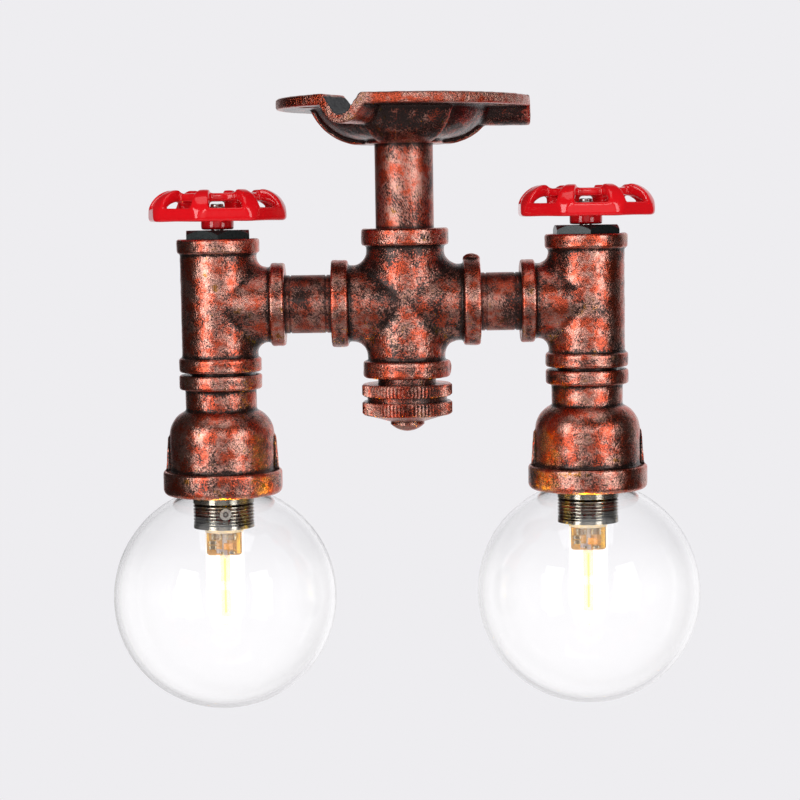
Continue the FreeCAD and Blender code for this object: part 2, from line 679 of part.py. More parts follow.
def terminal_block():
    body = block("0", "block_middle", "block_wide", "block_deep", "block_bottom", "-block_top")
    spaces = []
    for pole in POLES:
        spaces.append(cylinder("clamp_across + 2 * thread_gap", "-block_top - clamp_tall", "-block_top",
                               pole, "clamp_y"))
    for pole in POLES[1:-1]:
        hole = primitive("Cylinder", {"x": pole, "y": "block_out", "z": "wire_level"},
                         Radius="lead_across / 2 + thread_gap", Height="pole_depth")
        spaces.append(lay_down(hole, FreeCAD.Vector(-1, 0, 0)))
    side = primitive("Cylinder", {"x": "block_wide / 2 - pole_depth", "y": "block_middle", "z": "wire_level"},
                     Radius="lead_across / 2 + thread_gap", Height="pole_depth")
    spaces.append(lay_down(side, FreeCAD.Vector(0, 1, 0)))
    spaces.append(cylinder("block_screw_across + 2 * thread_gap", "block_bottom", "-block_top",
                           y="block_screw_y"))
    return name_piece(cut(body, spaces), "terminal_block")


def clamp_screws():
    return name_group("clamp_screws", [
        cylinder("clamp_across", "-block_top - clamp_tall", "-block_top - seat_gap", pole, "clamp_y")
        for pole in POLES])


def block_screw():
    """Holds the block on its pad, its head on top of the block."""
    radius = "block_screw_across / 2"
    head = "block_screw_head / 2"
    tip = "block_bottom - block_screw_root"
    return turned("block_screw", [
        ("0", tip), (radius, tip), (radius, "-block_top"), (head, "-block_top"),
        (head, "-block_top + block_screw_across / 4"), (radius, "-block_top + block_screw_across / 2"),
        ("0", "-block_top + block_screw_across / 2")], y="block_screw_y")


def earth_screw():
    """The screw and the ring lug of the earth lead under its head."""
    lug_top = "(earth_pad_top + lug_thick)"
    radius = "earth_screw_across / 2"
    head = "earth_head_across / 2"
    screw = turned("EarthScrew", [
        ("0", "earth_pad_top - earth_screw_root"), (radius, "earth_pad_top - earth_screw_root"),
        (radius, lug_top), (head, lug_top), (head, f"{lug_top} + earth_head_tall / 2"),
        (radius, f"{lug_top} + earth_head_tall"), ("0", f"{lug_top} + earth_head_tall")],
        x="earth_x", y="earth_y")
    disc, hole = [cylinder(across, "earth_pad_top", lug_top, "earth_x", "earth_y")
                  for across in ("lug_across", "earth_screw_across + 2 * thread_gap")]
    ring = cut(disc, [hole])
    return name_group("earth_screw", [screw, ring])


def earth_lead():
    """From the side of the block to the lug, in front of the lug's rim."""
    start = "(block_wide / 2 - pole_depth / 2)"
    bend = "(block_wide / 2 + lead_bend / 2)"
    return lead("earth_lead", [
        (start, "block_middle", "wire_level"), (bend, "block_middle", "wire_level"),
        ("earth_x", "earth_y + earth_head_across / 2 + 2 * lead_across", "wire_level"),
        ("earth_x", "earth_y + earth_head_across / 2 + lead_across / 4", "wire_level")])


def lamp_lead(label, side, pole, way):
    """From the block down the stem, along an arm, down the tee and to a contact."""
    level = f"(-cross_depth + ({way}) * lead_level)"
    sense = -1 if side == "left" else 1
    drop = f"({SIDES[side]} + ({sense}) * ({way}) * lead_level)"
    tail = f"({SIDES[side]} + ({sense}) * ({way}) * pin_pitch / 2)"
    low = "(tube_end + tail_top) / 2"
    return lead(label, [
        (pole, "block_out + pole_depth - seat_gap", "wire_level"), (pole, "0", "wire_level"),
        (pole, "0", level), (drop, "0", level), (drop, "0", "tube_end"),
        (tail, "0", low), (tail, "0", "tail_top")])


# Fittings

def barrel(half, band, band_across, across):
    """Half section of a fitting's run: a body with a band at each end."""
    return [("0", f"-{half}"), (f"{band_across} / 2", f"-{half}"), (f"{band_across} / 2", f"{band} - {half}"),
            (f"({across}) / 2", f"{band} - {half}"), (f"({across}) / 2", f"{half} - {band}"),
            (f"{band_across} / 2", f"{half} - {band}"), (f"{band_across} / 2", half), ("0", half)]


def sockets(half):
    """Half section of the bore through a run: a thread at each end and the water way."""
    wide = "socket_across / 2"
    mouth = f"{wide} + mouth_bevel"
    return [("0", f"-{half}"), (mouth, f"-{half}"), (wide, f"mouth_bevel - {half}"),
            (wide, f"socket_depth - {half}"), ("way_across / 2", f"socket_depth - {half}"),
            ("way_across / 2", f"{half} - socket_depth"), (wide, f"{half} - socket_depth"),
            (wide, f"{half} - mouth_bevel"), (mouth, half), ("0", half)]


def across_way(points):
    return [(up, out) for out, up in points]


def is_meeting(shape):
    """Picks the edges where the run and the branch meet."""
    def wanted(edge):
        faces = shape.ancestorsOfType(edge, Part.Face)
        if len(faces) != 2 or not all(isinstance(face.Surface, Part.Cylinder) for face in faces):
            return False
        return abs(faces[0].Surface.Axis.dot(faces[1].Surface.Axis)) < 0.5
    return wanted


def finish_fitting(body, fillet, band_across):
    soften(body, "Fillet", fillet, is_meeting(body.Tip.Shape))
    across = value(band_across)
    soften(body, "Fillet", "cast_round", lambda edge: is_circle(edge, across))


def cross_fitting():
    body = new_body("cross_fitting", z="-cross_depth")
    size = ("cross_half", "cross_band", "cross_band_across")
    revolve(body, "Revolution", barrel(*size, "cross_run_across"))
    branch = barrel(*size, "cross_run_across - casting_step")
    revolve(body, "Revolution", across_way(branch), axis="H_Axis")
    finish_fitting(body, "cross_fillet", "cross_band_across")
    revolve(body, "Groove", sockets("cross_half"))
    revolve(body, "Groove", across_way(sockets("cross_half")), axis="H_Axis")
    return body


def tee(side):
    body = new_body("tee_" + side, x=SIDES[side], z="-cross_depth", turn="0" if side == "left" else "180")
    size = ("tee_half", "tee_band", "tee_band_across")
    revolve(body, "Revolution", barrel(*size, "tee_run_across"))
    branch = barrel(*size, "tee_run_across - casting_step")
    middle = [("0", "0"), (branch[3][0], "0")]
    revolve(body, "Revolution", across_way(middle + branch[4:]), axis="H_Axis")
    finish_fitting(body, "tee_fillet", "tee_band_across")
    revolve(body, "Groove", sockets("tee_half"))
    bore = sockets("tee_half")
    middle = [("0", "0"), (bore[4][0], "0")]
    revolve(body, "Groove", across_way(middle + bore[5:]), axis="H_Axis")
    return body


# Pipes

def nipple(label, start, finish, **where):
    """A length of pipe along its own vertical axis."""
    bore = "(pipe_across - 2 * pipe_wall)"
    return turned(label, tube_outline(bore, "pipe_across", start, finish), **where)


def arm_nipple(side):
    """The pipe between the cross and a tee, along X, with a groove where each thread ends."""
    body = new_body("arm_nipple_" + side, z="-cross_depth", turn="180" if side == "left" else "0")
    start = "cross_half - socket_depth + seat_gap"
    tee_face = f"(reach_{side} - tee_half)"
    bore = "(pipe_across - 2 * pipe_wall)"
    outline = tube_outline(bore, "pipe_across", start, f"{tee_face} + socket_depth - seat_gap")
    root = "pipe_across / 2 - groove_deep"
    grooves = []
    for low in ("cross_half + groove_away", f"{tee_face} - groove_away - groove_wide"):
        high = f"{low} + groove_wide"
        grooves += [("pipe_across / 2", low), (root, low), (root, high), ("pipe_across / 2", high)]
    revolve(body, "Revolution", across_way(outline[:3] + grooves + outline[3:]), axis="H_Axis")
    return body


# Knurled ring and plug under the cross

def knurled_lock_ring():
    high = value("cross_end - lock_ring_down")
    low = value("cross_end - lock_ring_down - lock_ring_tall")
    bore = Part.makeCylinder(value("socket_across") / 2, high - low, FreeCAD.Vector(0, 0, low))
    return bare("knurled_lock_ring", knurled("knurl_across", low, high).cut(bore))


def knurled_plug():
    """Threaded shank, neck, knurled ring, shallow cone and domed nub."""
    neck = "(cross_end - lock_ring_down - lock_ring_tall)"
    ring_top = f"({neck} - plug_neck_tall)"
    ring_low = f"({ring_top} - plug_ring_tall)"
    cone_low = f"({ring_low} - plug_cone_tall)"
    nub_low = f"({cone_low} - nub_tall)"
    cap = "((nub_across / 2)^2 + (nub_tall - nub_side)^2) / (2 * (nub_tall - nub_side))"
    core = turned("PlugCore", [
        ("0", "cross_end + socket_depth - seat_gap"),
        ("pipe_across / 2 - mouth_bevel", "cross_end + socket_depth - seat_gap"),
        ("pipe_across / 2", "cross_end + socket_depth - seat_gap - mouth_bevel"),
        ("pipe_across / 2", neck), ("plug_neck_across / 2", neck),
        ("plug_neck_across / 2", ring_low), ("plug_cone_across / 2", ring_low),
        ("nub_across / 2", cone_low), ("nub_across / 2", f"{cone_low} - nub_side", cap, -1),
        ("0", nub_low)])
    ring = bare("PlugRing", knurled("knurl_across", value(ring_low), value(ring_top)))
    return name_piece(together([core, ring]), "knurled_plug")


# Gland bushing and spindle on top of each tee

def bevelled_hex(flats, low, high, bevel, x, turn="0"):
    """A hexagon with its upper corners turned off."""
    corner = f"({flats}) / sqrt(3)"
    turned_block = turned("HexTurn", [
        ("0", low), (corner, low), (corner, f"{high} - {bevel}"),
        (f"{flats} / 2", high), ("0", high)], x=x)
    both = doc.addObject("Part::MultiCommon", "Hex")
    both.Shapes = [hexagon(flats, low, high, x, turn), turned_block]
    return both


def gland_bushing(side):
    x = SIDES[side]
    shank = cylinder("pipe_across", "tee_top - socket_depth + seat_gap", "tee_top", x)
    head = bevelled_hex("hex_flats", "tee_top", "gland_top", "hex_bevel", x, turn="hex_turn_" + side)
    bore = cylinder("spindle_across + 2 * spindle_play", "tee_top - socket_depth", "gland_top", x)
    hollow = cylinder("pipe_across - 2 * pipe_wall", "tee_top - socket_depth", "gland_top - gland_web", x)
    return name_piece(cut(together([shank, head]), [bore, hollow]), "gland_bushing_" + side)


def spindle_set(side):
    """The spindle with the nut over the wheel and the washer and nut inside the gland."""
    x = SIDES[side]
    nut_top = "(nut_bottom + wheel_nut_tall)"
    washer_top = "(gland_top - gland_web - seat_gap)"
    keeper_top = f"({washer_top} - washer_thick)"
    keeper_low = f"({keeper_top} - keeper_tall)"
    radius = "spindle_across / 2"
    bevel = "mouth_bevel / 2"
    turned("spindle_" + side, [
        ("0", f"{keeper_low} - spindle_over"), (f"{radius} - {bevel}", f"{keeper_low} - spindle_over"),
        (radius, f"{keeper_low} - spindle_over + {bevel}"), (radius, f"{nut_top} + spindle_over - {bevel}"),
        (f"{radius} - {bevel}", f"{nut_top} + spindle_over"), ("0", f"{nut_top} + spindle_over")], x=x)
    bore = "spindle_across + 2 * thread_gap"
    nut = bevelled_hex("wheel_nut_flats", "nut_bottom", nut_top, "mouth_bevel / 2", x)
    name_piece(cut(nut, [cylinder(bore, "nut_bottom", nut_top, x)]), "wheel_nut_" + side)
    washer = cut(cylinder("washer_across", keeper_top, washer_top, x),
                 [cylinder(bore, keeper_top, washer_top, x)])
    keeper = cut(hexagon("keeper_flats", keeper_low, keeper_top, x),
                 [cylinder(bore, keeper_low, keeper_top, x)])
    name_group("keeper_nut_" + side, [washer, keeper])


# Handwheel

def wheel_section():
    """Half section through a rib: skirt, arched rib and flat top."""
    skirt = "(wheel_across / 2)"
    inner = f"({skirt} - wheel_wall)"
    under = "(wheel_top - wheel_disc_thick)"
    disc = "wheel_disc_across / 2"
    return [(inner, "0"), (skirt, "0"), (skirt, "rib_foot", "rib_arc", 1),
            ("rib_top_across / 2", "rib_top"), ("rib_end_across / 2 + rib_top - wheel_top", "rib_top"),
            ("rib_end_across / 2", "wheel_top"),
            ("wheel_hole_across / 2", "wheel_top"), ("wheel_hole_across / 2", under),
            (disc, under, "rib_under_arc", -1), (inner, "wheel_skirt")]


def between_ribs(within):
    """Plan of the space between two ribs, outside a circle."""
    slope = "((rib_wide_foot - rib_wide_top) / (wheel_across - rib_top_across))"
    pitch = f"{360 / value('rib_count')}"

    def rib_side(out):
        return out, f"(rib_wide_top / 2 + {slope} * (({out}) - rib_top_across / 2))"

    def next_side(point):
        out, beside = point
        return (f"({out}) * cos({pitch} deg) + {beside} * sin({pitch} deg)",
                f"({out}) * sin({pitch} deg) - {beside} * cos({pitch} deg)")

    beside = rib_side(within)[1]
    near = (f"sqrt(({within})^2 - {beside}^2)", beside)
    far = rib_side(f"wheel_across / 2 * {BEYOND}")
    return [near, far, next_side(far), (*next_side(near), within, -1)]


def handwheel(side):
    body = new_body("handwheel_" + side, x=SIDES[side], z="wheel_bottom",
                    turn=f"180 / rib_count + wheel_turn_{side}")
    revolve(body, "Revolution", wheel_section())

    # The skirt is an octagon whose corners are the feet of the ribs
    flats = new_sketch(body, "XY_Plane")
    count = int(value("rib_count"))
    half = math.pi / count
    draw(flats, [(f"{math.cos(2 * half * step) / math.cos(half)} * wheel_flats / 2",
                  f"{math.sin(2 * half * step) / math.cos(half)} * wheel_flats / 2")
                 for step in range(count)])
    draw_circle(flats, f"wheel_across * {BEYOND}")
    extrude(body, "Pocket", flats, "4 * wheel_top", way="Symmetric")
    inner = value("wheel_across / 2 - wheel_wall")
    soften(body, "Chamfer", "wheel_bevel",
           lambda edge: edge.BoundBox.ZMax < 0.01 and edge.Vertexes[0].Point.Length > inner + 0.01)
    for level, within in (("wheel_skirt", "wheel_disc_across / 2"), ("wheel_top", "rib_end_across / 2")):
        plan = new_sketch(body, "XY_Plane", raised=level)
        draw(plan, between_ribs(within))
        space = extrude(body, "Pocket", plan, "wheel_top", reverse=True)
        repeat(body, [space], "rib_count")

    # Webs carry the hub under the flat top
    web = new_sketch(body, "XZ_Plane")
    outer = "wheel_disc_across / 2 - web_inset"
    top = "wheel_top - wheel_disc_thick / 2"
    draw(web, [("hub_across / 2 - hub_root", "web_foot"), (outer, "web_foot"), (outer, top),
               ("nut_room_across / 2", top), ("nut_room_across / 2", "hub_top"),
               ("hub_across / 2 - hub_root", "hub_top")])
    arm = extrude(body, "Pad", web, "web_thick", way="Symmetric")
    repeat(body, [arm], "rib_count / 2")
    low = "(hex_tall + seat_gap - wheel_up)"
    bore = "(spindle_across / 2 + thread_gap)"
    revolve(body, "Revolution", rectangle(bore, "hub_across / 2", low, "hub_top"))
    return body


# Bell

def bell(side):
    body = new_body("bell_" + side, x=SIDES[side], z="bell_top")
    band = "bell_band_across / 2"
    neck = "bell_neck_across / 2"
    dome = "bell_dome_across / 2"
    skirt = "bell_skirt_across / 2"
    shoulder = "-(bell_band + bell_neck)"
    waist = "(bell_skirt - bell_length)"
    bore = "socket_across / 2"
    mouth = "bell_mouth_across / 2"
    revolve(body, "Revolution", [
        (f"{bore} + mouth_bevel", "0"), (band, "0"), (band, "-bell_band"), (neck, "-bell_band"),
        (neck, shoulder, "bell_shoulder_arc", -1), (dome, f"{shoulder} - bell_shoulder"), (dome, waist),
        (skirt, waist), (skirt, "-bell_length"), (mouth, "-bell_length"),
        (mouth, "-bell_ceiling - bell_ceiling_bevel"), (f"{mouth} - bell_ceiling_bevel", "-bell_ceiling"),
        ("bell_way_across / 2", "-bell_ceiling"), ("bell_way_across / 2", "-bell_bore_depth"),
        (bore, "-bell_bore_depth"), (bore, "-mouth_bevel")])
    grips = new_sketch(body, "XZ_Plane")
    top = f"{shoulder} - grip_down"
    rib = [(f"{dome} - grip_root", f"{waist} - grip_root"), ("grip_out", f"{waist} - grip_root"),
           ("grip_out_top", f"{top} - grip_wide"), (f"{dome} - grip_root", top)]
    draw(grips, rib)
    draw(grips, [(f"-({out})", up) for out, up in reversed(rib)])
    extrude(body, "Pad", grips, "grip_wide", way="Symmetric")
    skirt_across = value("bell_skirt_across")
    low = value("-bell_length")
    soften(body, "Fillet", "bell_rim_round",
           lambda edge: is_circle(edge, skirt_across) and abs(edge.Curve.Center.z - low) < 0.01)
    band_across = value("bell_band_across")
    soften(body, "Fillet", "cast_round",
           lambda edge: is_circle(edge, band_across)
           or (is_circle(edge, skirt_across) and edge.Curve.Center.z > low + value("bell_skirt") / 2))
    return body


# Lampholder

def holder_bushing(side):
    outline = tube_outline("(tube_across + 2 * thread_gap)", "pipe_across", "bushing_bottom", "bushing_top")
    return turned("holder_bushing_" + side, outline, x=SIDES[side])


def holder_tube(side):
    outline = tube_outline("tube_bore", "tube_across", "tube_end", "tube_end + tube_length",
                           bevel="mouth_bevel / 2")
    return turned("holder_tube_" + side, outline, x=SIDES[side])


def tube_nuts(side):
    """Lock nuts under the bushing and on both sides of the shell's top."""
    x = SIDES[side]
    nuts = []
    for top in ("bushing_bottom", "(shell_top + tube_nut_tall)", "(shell_top - shell_cap)"):
        low = f"{top} - tube_nut_tall"
        bore = cylinder("tube_across + 2 * thread_gap", low, top, x)
        nuts.append(cut(hexagon("tube_nut_flats", low, top, x), [bore]))
    return name_group("tube_nuts_" + side, nuts)


def lampholder_shell(side):
    """Cup with a fine thread outside, open below."""
    outer = "shell_across / 2"
    root = "(shell_across / 2 - shell_thread_deep)"
    bore = "shell_bore / 2"
    start = "(shell_end + shell_lip)"
    points = [(bore, "shell_end"), (outer, "shell_end"), (outer, start), (root, start)]
    turns = int(value("shell_thread_turns"))
    for turn in range(turns):
        for share, radius in ((0.25, root), (0.5, outer), (0.75, outer), (1, root)):
            points.append((radius, f"{start} + shell_thread_pitch * {turn + share}"))
    neck = f"({start} + shell_thread_pitch * {turns + 0.5})"
    points += [(outer, neck), (outer, "shell_top - mouth_bevel"), (f"{outer} - mouth_bevel", "shell_top"),
               ("tube_across / 2 + thread_gap", "shell_top"),
               ("tube_across / 2 + thread_gap", "shell_top - shell_cap"), (bore, "shell_top - shell_cap")]
    body = turned("lampholder_shell_" + side, points, x=SIDES[side], turn="shell_turn_" + side)
    hole = new_sketch(body, "XZ_Plane")
    draw_circle(hole, "grub_across + 2 * thread_gap", y="bell_rim - grub_down")
    extrude(body, "Pocket", hole, "shell_across", reverse=True)
    return body


def ceramic_slots(side, sign):
    """Space for one pin and its contact, with a hole above for the tail."""
    x = f"({SIDES[side]} + ({sign}) * pin_pitch / 2)"
    slot = block(x, "0", "slot_wide", "slot_deep", "ceramic_end", "slot_top")
    return [slot, cylinder("tail_across + 2 * thread_gap", "ceramic_end", "ceramic_top", x)]


def lampholder_ceramic(side):
    body = cylinder("ceramic_across", "ceramic_end", "ceramic_top", SIDES[side])
    spaces = ceramic_slots(side, "1") + ceramic_slots(side, "-1")
    return name_piece(cut(body, spaces), "lampholder_ceramic_" + side)


def holder_contacts(side):
    """For each pin two spring leaves, a bridge over them and a tail up to the lead."""
    parts = []
    for sign in ("1", "-1"):
        x = f"({SIDES[side]} + ({sign}) * pin_pitch / 2)"
        out = "(pin_wire / 2 + leaf_thick)"
        bridge = "(slot_top - leaf_thick)"
        leaves = [block(x, f"{way} * {out}", "leaf_wide", "leaf_thick",
                        "ceramic_end + leaf_thick", "slot_top - leaf_thick / 2") for way in ("1", "-1")]
        top = block(x, "0", "leaf_wide", f"2 * {out} + leaf_thick", bridge, "slot_top")
        tail = cylinder("tail_across", bridge, "tail_top", x)
        parts.append(together(leaves + [top, tail]))
    return name_group("holder_contacts_" + side, parts)


def shell_screw(side):
    """Socket screw, flush with the thread of the shell, which bears on the ceramic."""
    body = new_body("shell_screw_" + side, x=SIDES[side], z="bell_rim - grub_down",
                    turn="shell_turn_" + side)
    face = "-(shell_across / 2 - thread_gap)"
    floor = f"{face} + grub_socket_deep"
    tip = "-(ceramic_across / 2 + thread_gap)"
    revolve(body, "Revolution", across_way([
        ("0", tip), ("0", floor), ("grub_socket_across / 2", floor), ("grub_socket_across / 2", face),
        ("grub_across / 2", face), ("grub_across / 2", tip)]), axis="H_Axis", plane="YZ_Plane")
    return body


# Lamp

def lamp_cover(side):
    """Clear capsule, closed below."""
    outer = "lamp_across / 2"
    inner = "(lamp_across / 2 - lamp_wall)"
    low = "(lamp_top - lamp_length)"
    return turned("lamp_cover_" + side, [
        (inner, "lamp_top"), (inner, f"{low} + {outer}", inner, -1), ("0", f"{low} + lamp_wall"),
        ("0", low, outer, 1), (outer, f"{low} + {outer}"), (outer, "lamp_top")], x=SIDES[side])


def lamp_base(side):
    """Plug that closes the capsule and holds the pins and the board."""
    x = SIDES[side]
    across = "lamp_across - 2 * lamp_wall - 2 * thread_gap"
    plug = cylinder(across, "lamp_top - lamp_base_tall", "lamp_top", x)
    holes = [cylinder("pin_wide + 2 * thread_gap", "lamp_top - lamp_base_tall / 2", "lamp_top",
                      f"({x} + ({sign}) * pin_pitch / 2)") for sign in ("1", "-1")]
    slit = block(x, "0", "board_wide / 2 + 2 * thread_gap", "board_thick + 2 * thread_gap",
                 "lamp_top - lamp_base_tall", "lamp_top - lamp_base_tall / 2")
    return name_piece(cut(plug, holes + [slit]), "lamp_base_" + side)


def lamp_pins(side):
    """Two flat loops of wire."""
    loops = []
    low = "(lamp_top - lamp_base_tall / 2)"
    bend = "((pin_wide - pin_wire) / 2)"
    bend_top = f"(lamp_top + pin_length - pin_wire / 2 - {bend})"
    for sign in ("1", "-1"):
        x = f"({SIDES[side]} + ({sign}) * pin_pitch / 2)"
        legs = [cylinder("pin_wire", low, bend_top, f"({x} + {way} * {bend})") for way in ("1", "-1")]
        bow = primitive("Torus", {"x": x, "z": bend_top}, Radius1=bend, Radius2="pin_wire / 2", Angle3="180")
        loops.append(together(legs + [lay_down(bow, FreeCAD.Vector(1, 0, 0))]))
    return name_group("lamp_pins_" + side, loops)


def lamp_board(side):
    """Driver board with its larger components."""
    x = SIDES[side]
    top = "(lamp_top - lamp_base_tall)"
    low = f"({top} - board_tall)"
    face = "(board_thick / 2)"
    tongue = block(x, "0", "board_wide / 2", "board_thick", top, "lamp_top - lamp_base_tall / 2 - thread_gap")
    board = block(x, "0", "board_wide", "board_thick", low, f"{top} - thread_gap")
    parts = [board, tongue]
    for across, up, wide, tall, thick, front in BOARD_PARTS:
        middle = f"{front} * ({face} + {thick} / 2)"
        parts.append(block(f"({x} + {across})", middle, str(wide), str(thick),
                           f"{low} + {up}", f"{low} + {up} + {tall}"))
    return name_piece(together(parts), "lamp_board_" + side)


def lamp_strip(side):
    """Light strip that hangs from the board."""
    x = SIDES[side]
    top = "(lamp_top - lamp_base_tall - board_tall)"
    body = block(x, "0", "strip_wide", "strip_thick", f"{top} - strip_length", top)
    return name_piece(body, "lamp_strip_" + side)


# Glass

def globe(side):
    """Blown sphere with a short open neck above."""
    outer = "(globe_across / 2)"
    inner = "(globe_across / 2 - globe_wall)"
    neck = "(globe_neck_across / 2)"
    bore = "(globe_neck_bore / 2)"
    top = "(bell_rim + globe_neck_top - globe_centre)"
    join = f"sqrt({outer}^2 - {neck}^2)"
    join_inside = f"sqrt({inner}^2 - {bore}^2)"
    body = turned("globe_" + side, [
        (bore, top), (bore, join_inside, inner, -1), (inner, "0", inner, -1), ("0", f"-{inner}"),
        ("0", f"-{outer}", outer, 1), (outer, "0", outer, 1), (neck, join), (neck, top)],
        x=SIDES[side], z="globe_centre")
    return body


# The whole light

ceiling_flange()
terminal_block()
clamp_screws()
block_screw()
earth_screw()
earth_lead()
nipple("stem_pipe", "stem_bottom", "stem_top")
cross_fitting()
knurled_lock_ring()
knurled_plug()
for side in SIDES:
    arm_nipple(side)
    tee(side)
    gland_bushing(side)
    spindle_set(side)
    handwheel(side)
    nipple("drop_nipple_" + side, "bell_top - bell_bore_depth + 2 * seat_gap + bushing_tall",
           "tee_end + socket_depth - seat_gap", x=SIDES[side])
    bell(side)
    holder_bushing(side)
    holder_tube(side)
    tube_nuts(side)
    lampholder_shell(side)
    lampholder_ceramic(side)
    holder_contacts(side)
    shell_screw(side)
    lamp_cover(side)
    lamp_base(side)
    lamp_pins(side)
    lamp_board(side)
    lamp_strip(side)
    globe(side)
for side, outer, inner in (("left", POLES[1], POLES[2]), ("right", POLES[4], POLES[3])):
    lamp_lead("live_lead_" + side, side, outer, "1")
    lamp_lead("neutral_lead_" + side, side, inner, "-1")

NAMES = ["ceiling_flange", "terminal_block", "clamp_screws", "block_screw", "earth_screw", "earth_lead",
         "stem_pipe", "cross_fitting", "knurled_lock_ring", "knurled_plug"]
SIDE_NAMES = ["arm_nipple", "tee", "gland_bushing", "spindle", "wheel_nut", "keeper_nut", "handwheel",
              "drop_nipple", "bell", "holder_bushing", "holder_tube", "tube_nuts", "lampholder_shell",
              "lampholder_ceramic", "holder_contacts", "shell_screw", "live_lead", "neutral_lead",
              "lamp_cover", "lamp_base", "lamp_pins", "lamp_board", "lamp_strip", "globe"]
NAMES += [f"{name}_{side}" for side in SIDES for name in SIDE_NAMES]

doc.recompute()
failed = [item.Label for item in doc.Objects if "Invalid" in item.State or "Error" in item.State]
if failed:
    raise RuntimeError("failed to compute: " + ", ".join(failed))
pieces = [item for item in doc.Objects if item.Label in NAMES]
if sorted(item.Label for item in pieces) != sorted(NAMES):
    raise RuntimeError("a piece is missing or doubled")
for item in pieces:
    if item.Shape.isNull() or not item.Shape.isValid() or not item.Shape.Solids:
        raise RuntimeError("bad shape: " + item.Label)

os.makedirs("parts", exist_ok=True)
for item in pieces:
    item.Shape.exportStep(f"parts/{item.Label}.step")
    print(f"{item.Label}: {len(item.Shape.Solids)} solids, {item.Shape.Volume / 1000:.2f} cm3")
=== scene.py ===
"""Finishes the two-armed pipe ceiling light: copper castings, red handwheels, clear globes and lit lamps.

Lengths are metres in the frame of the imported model: the origin is the centre of the flange's ceiling face,
+Z is up, -Y is the front and the two arms lie along X. Sizes written as N * MM are millimetres.
"""

import math
from contextlib import contextmanager

import bmesh
import bpy
import numpy as np
from bpy.props import FloatProperty, FloatVectorProperty, IntProperty, PointerProperty
from mathutils import Matrix, Vector


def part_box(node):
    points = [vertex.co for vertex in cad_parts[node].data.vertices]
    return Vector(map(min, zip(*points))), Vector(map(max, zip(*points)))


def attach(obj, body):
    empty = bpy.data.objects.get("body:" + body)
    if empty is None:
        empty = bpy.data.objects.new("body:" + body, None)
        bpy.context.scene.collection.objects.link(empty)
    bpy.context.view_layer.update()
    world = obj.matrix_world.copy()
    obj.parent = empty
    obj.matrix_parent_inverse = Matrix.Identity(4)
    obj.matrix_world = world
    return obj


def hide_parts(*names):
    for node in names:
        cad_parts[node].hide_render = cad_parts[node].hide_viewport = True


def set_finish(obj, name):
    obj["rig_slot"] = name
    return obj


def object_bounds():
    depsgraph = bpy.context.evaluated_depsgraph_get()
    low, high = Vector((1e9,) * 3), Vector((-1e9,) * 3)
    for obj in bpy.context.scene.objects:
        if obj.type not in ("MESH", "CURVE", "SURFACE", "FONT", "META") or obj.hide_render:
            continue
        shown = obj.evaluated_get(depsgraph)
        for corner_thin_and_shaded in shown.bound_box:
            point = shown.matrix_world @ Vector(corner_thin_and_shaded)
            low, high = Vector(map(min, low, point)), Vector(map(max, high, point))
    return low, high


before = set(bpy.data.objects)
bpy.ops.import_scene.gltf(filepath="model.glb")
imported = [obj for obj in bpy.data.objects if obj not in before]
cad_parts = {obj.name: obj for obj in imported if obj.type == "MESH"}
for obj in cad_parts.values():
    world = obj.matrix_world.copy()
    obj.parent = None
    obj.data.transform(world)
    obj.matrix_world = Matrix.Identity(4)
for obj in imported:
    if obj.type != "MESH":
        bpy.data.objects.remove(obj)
CAD_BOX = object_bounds()

bl_info = {
    "name": "Pipe ceiling light",
    "version": (1, 0, 0),
    "blender": (4, 5, 0),
    "location": "3D View > Sidebar > Pipe light",
    "description": "Castings, handwheels, lampholders, lamps and globes of a two-armed pipe ceiling light",
    "category": "Add Mesh",
}

MM = 0.001
SIDES = ("left", "right")
WELD = 0.002 * MM                # points closer than this are one
RAISED_UNIT = 0.3 * MM           # unit in which the castings' points say how far they stand out
BORE_REACH = 16 * MM             # seams of the fittings end this far from the axis of a bore
AO_SAMPLES = 6
BOARD_THICK = 1.2 * MM           # driver board without its components
SHARP = 1.0                      # edges turn by more than this, in radians, where a bevel softens them


# Helpers

def linear(text):
    """Turns an sRGB hex value into the linear colour that a shader takes."""
    parts = [int(text[at:at + 2], 16) / 255 for at in (1, 3, 5)]
    return tuple(part / 12.92 if part <= 0.04045 else ((part + 0.055) / 1.055) ** 2.4 for part in parts)


def only(*pieces):
    """Selects these pieces and nothing else, the first one active."""
    bpy.ops.object.select_all(action="DESELECT")
    for piece in pieces:
        piece.select_set(True)
    bpy.context.view_layer.objects.active = pieces[0]


@contextmanager
def editing(piece, kind="FACE"):
    """Edit mode on one piece, with all of it selected."""
    only(piece)
    bpy.ops.object.mode_set(mode="EDIT")
    bpy.ops.mesh.select_mode(type=kind)
    bpy.ops.mesh.select_all(action="SELECT")
    yield
    bpy.ops.object.mode_set(mode="OBJECT")


def pick(piece, kind, test):
    """In edit mode, selects only the edges or the faces that pass a test."""
    bpy.ops.mesh.select_mode(type={"edges": "EDGE", "faces": "FACE"}[kind])
    bpy.ops.mesh.select_all(action="DESELECT")
    shape = bmesh.from_edit_mesh(piece.data)
    for item in getattr(shape, kind):
        if test(item):
            item.select_set(True)
    shape.select_flush_mode()
    bmesh.update_edit_mesh(piece.data)


def shaped_by(piece, kind, **settings):
    """Gives a piece a modifier and applies it."""
    only(piece)
    added = piece.modifiers.new(kind.title(), kind)
    for name, what in settings.items():
        setattr(added, name, what)
    bpy.ops.object.modifier_apply(modifier=added.name)


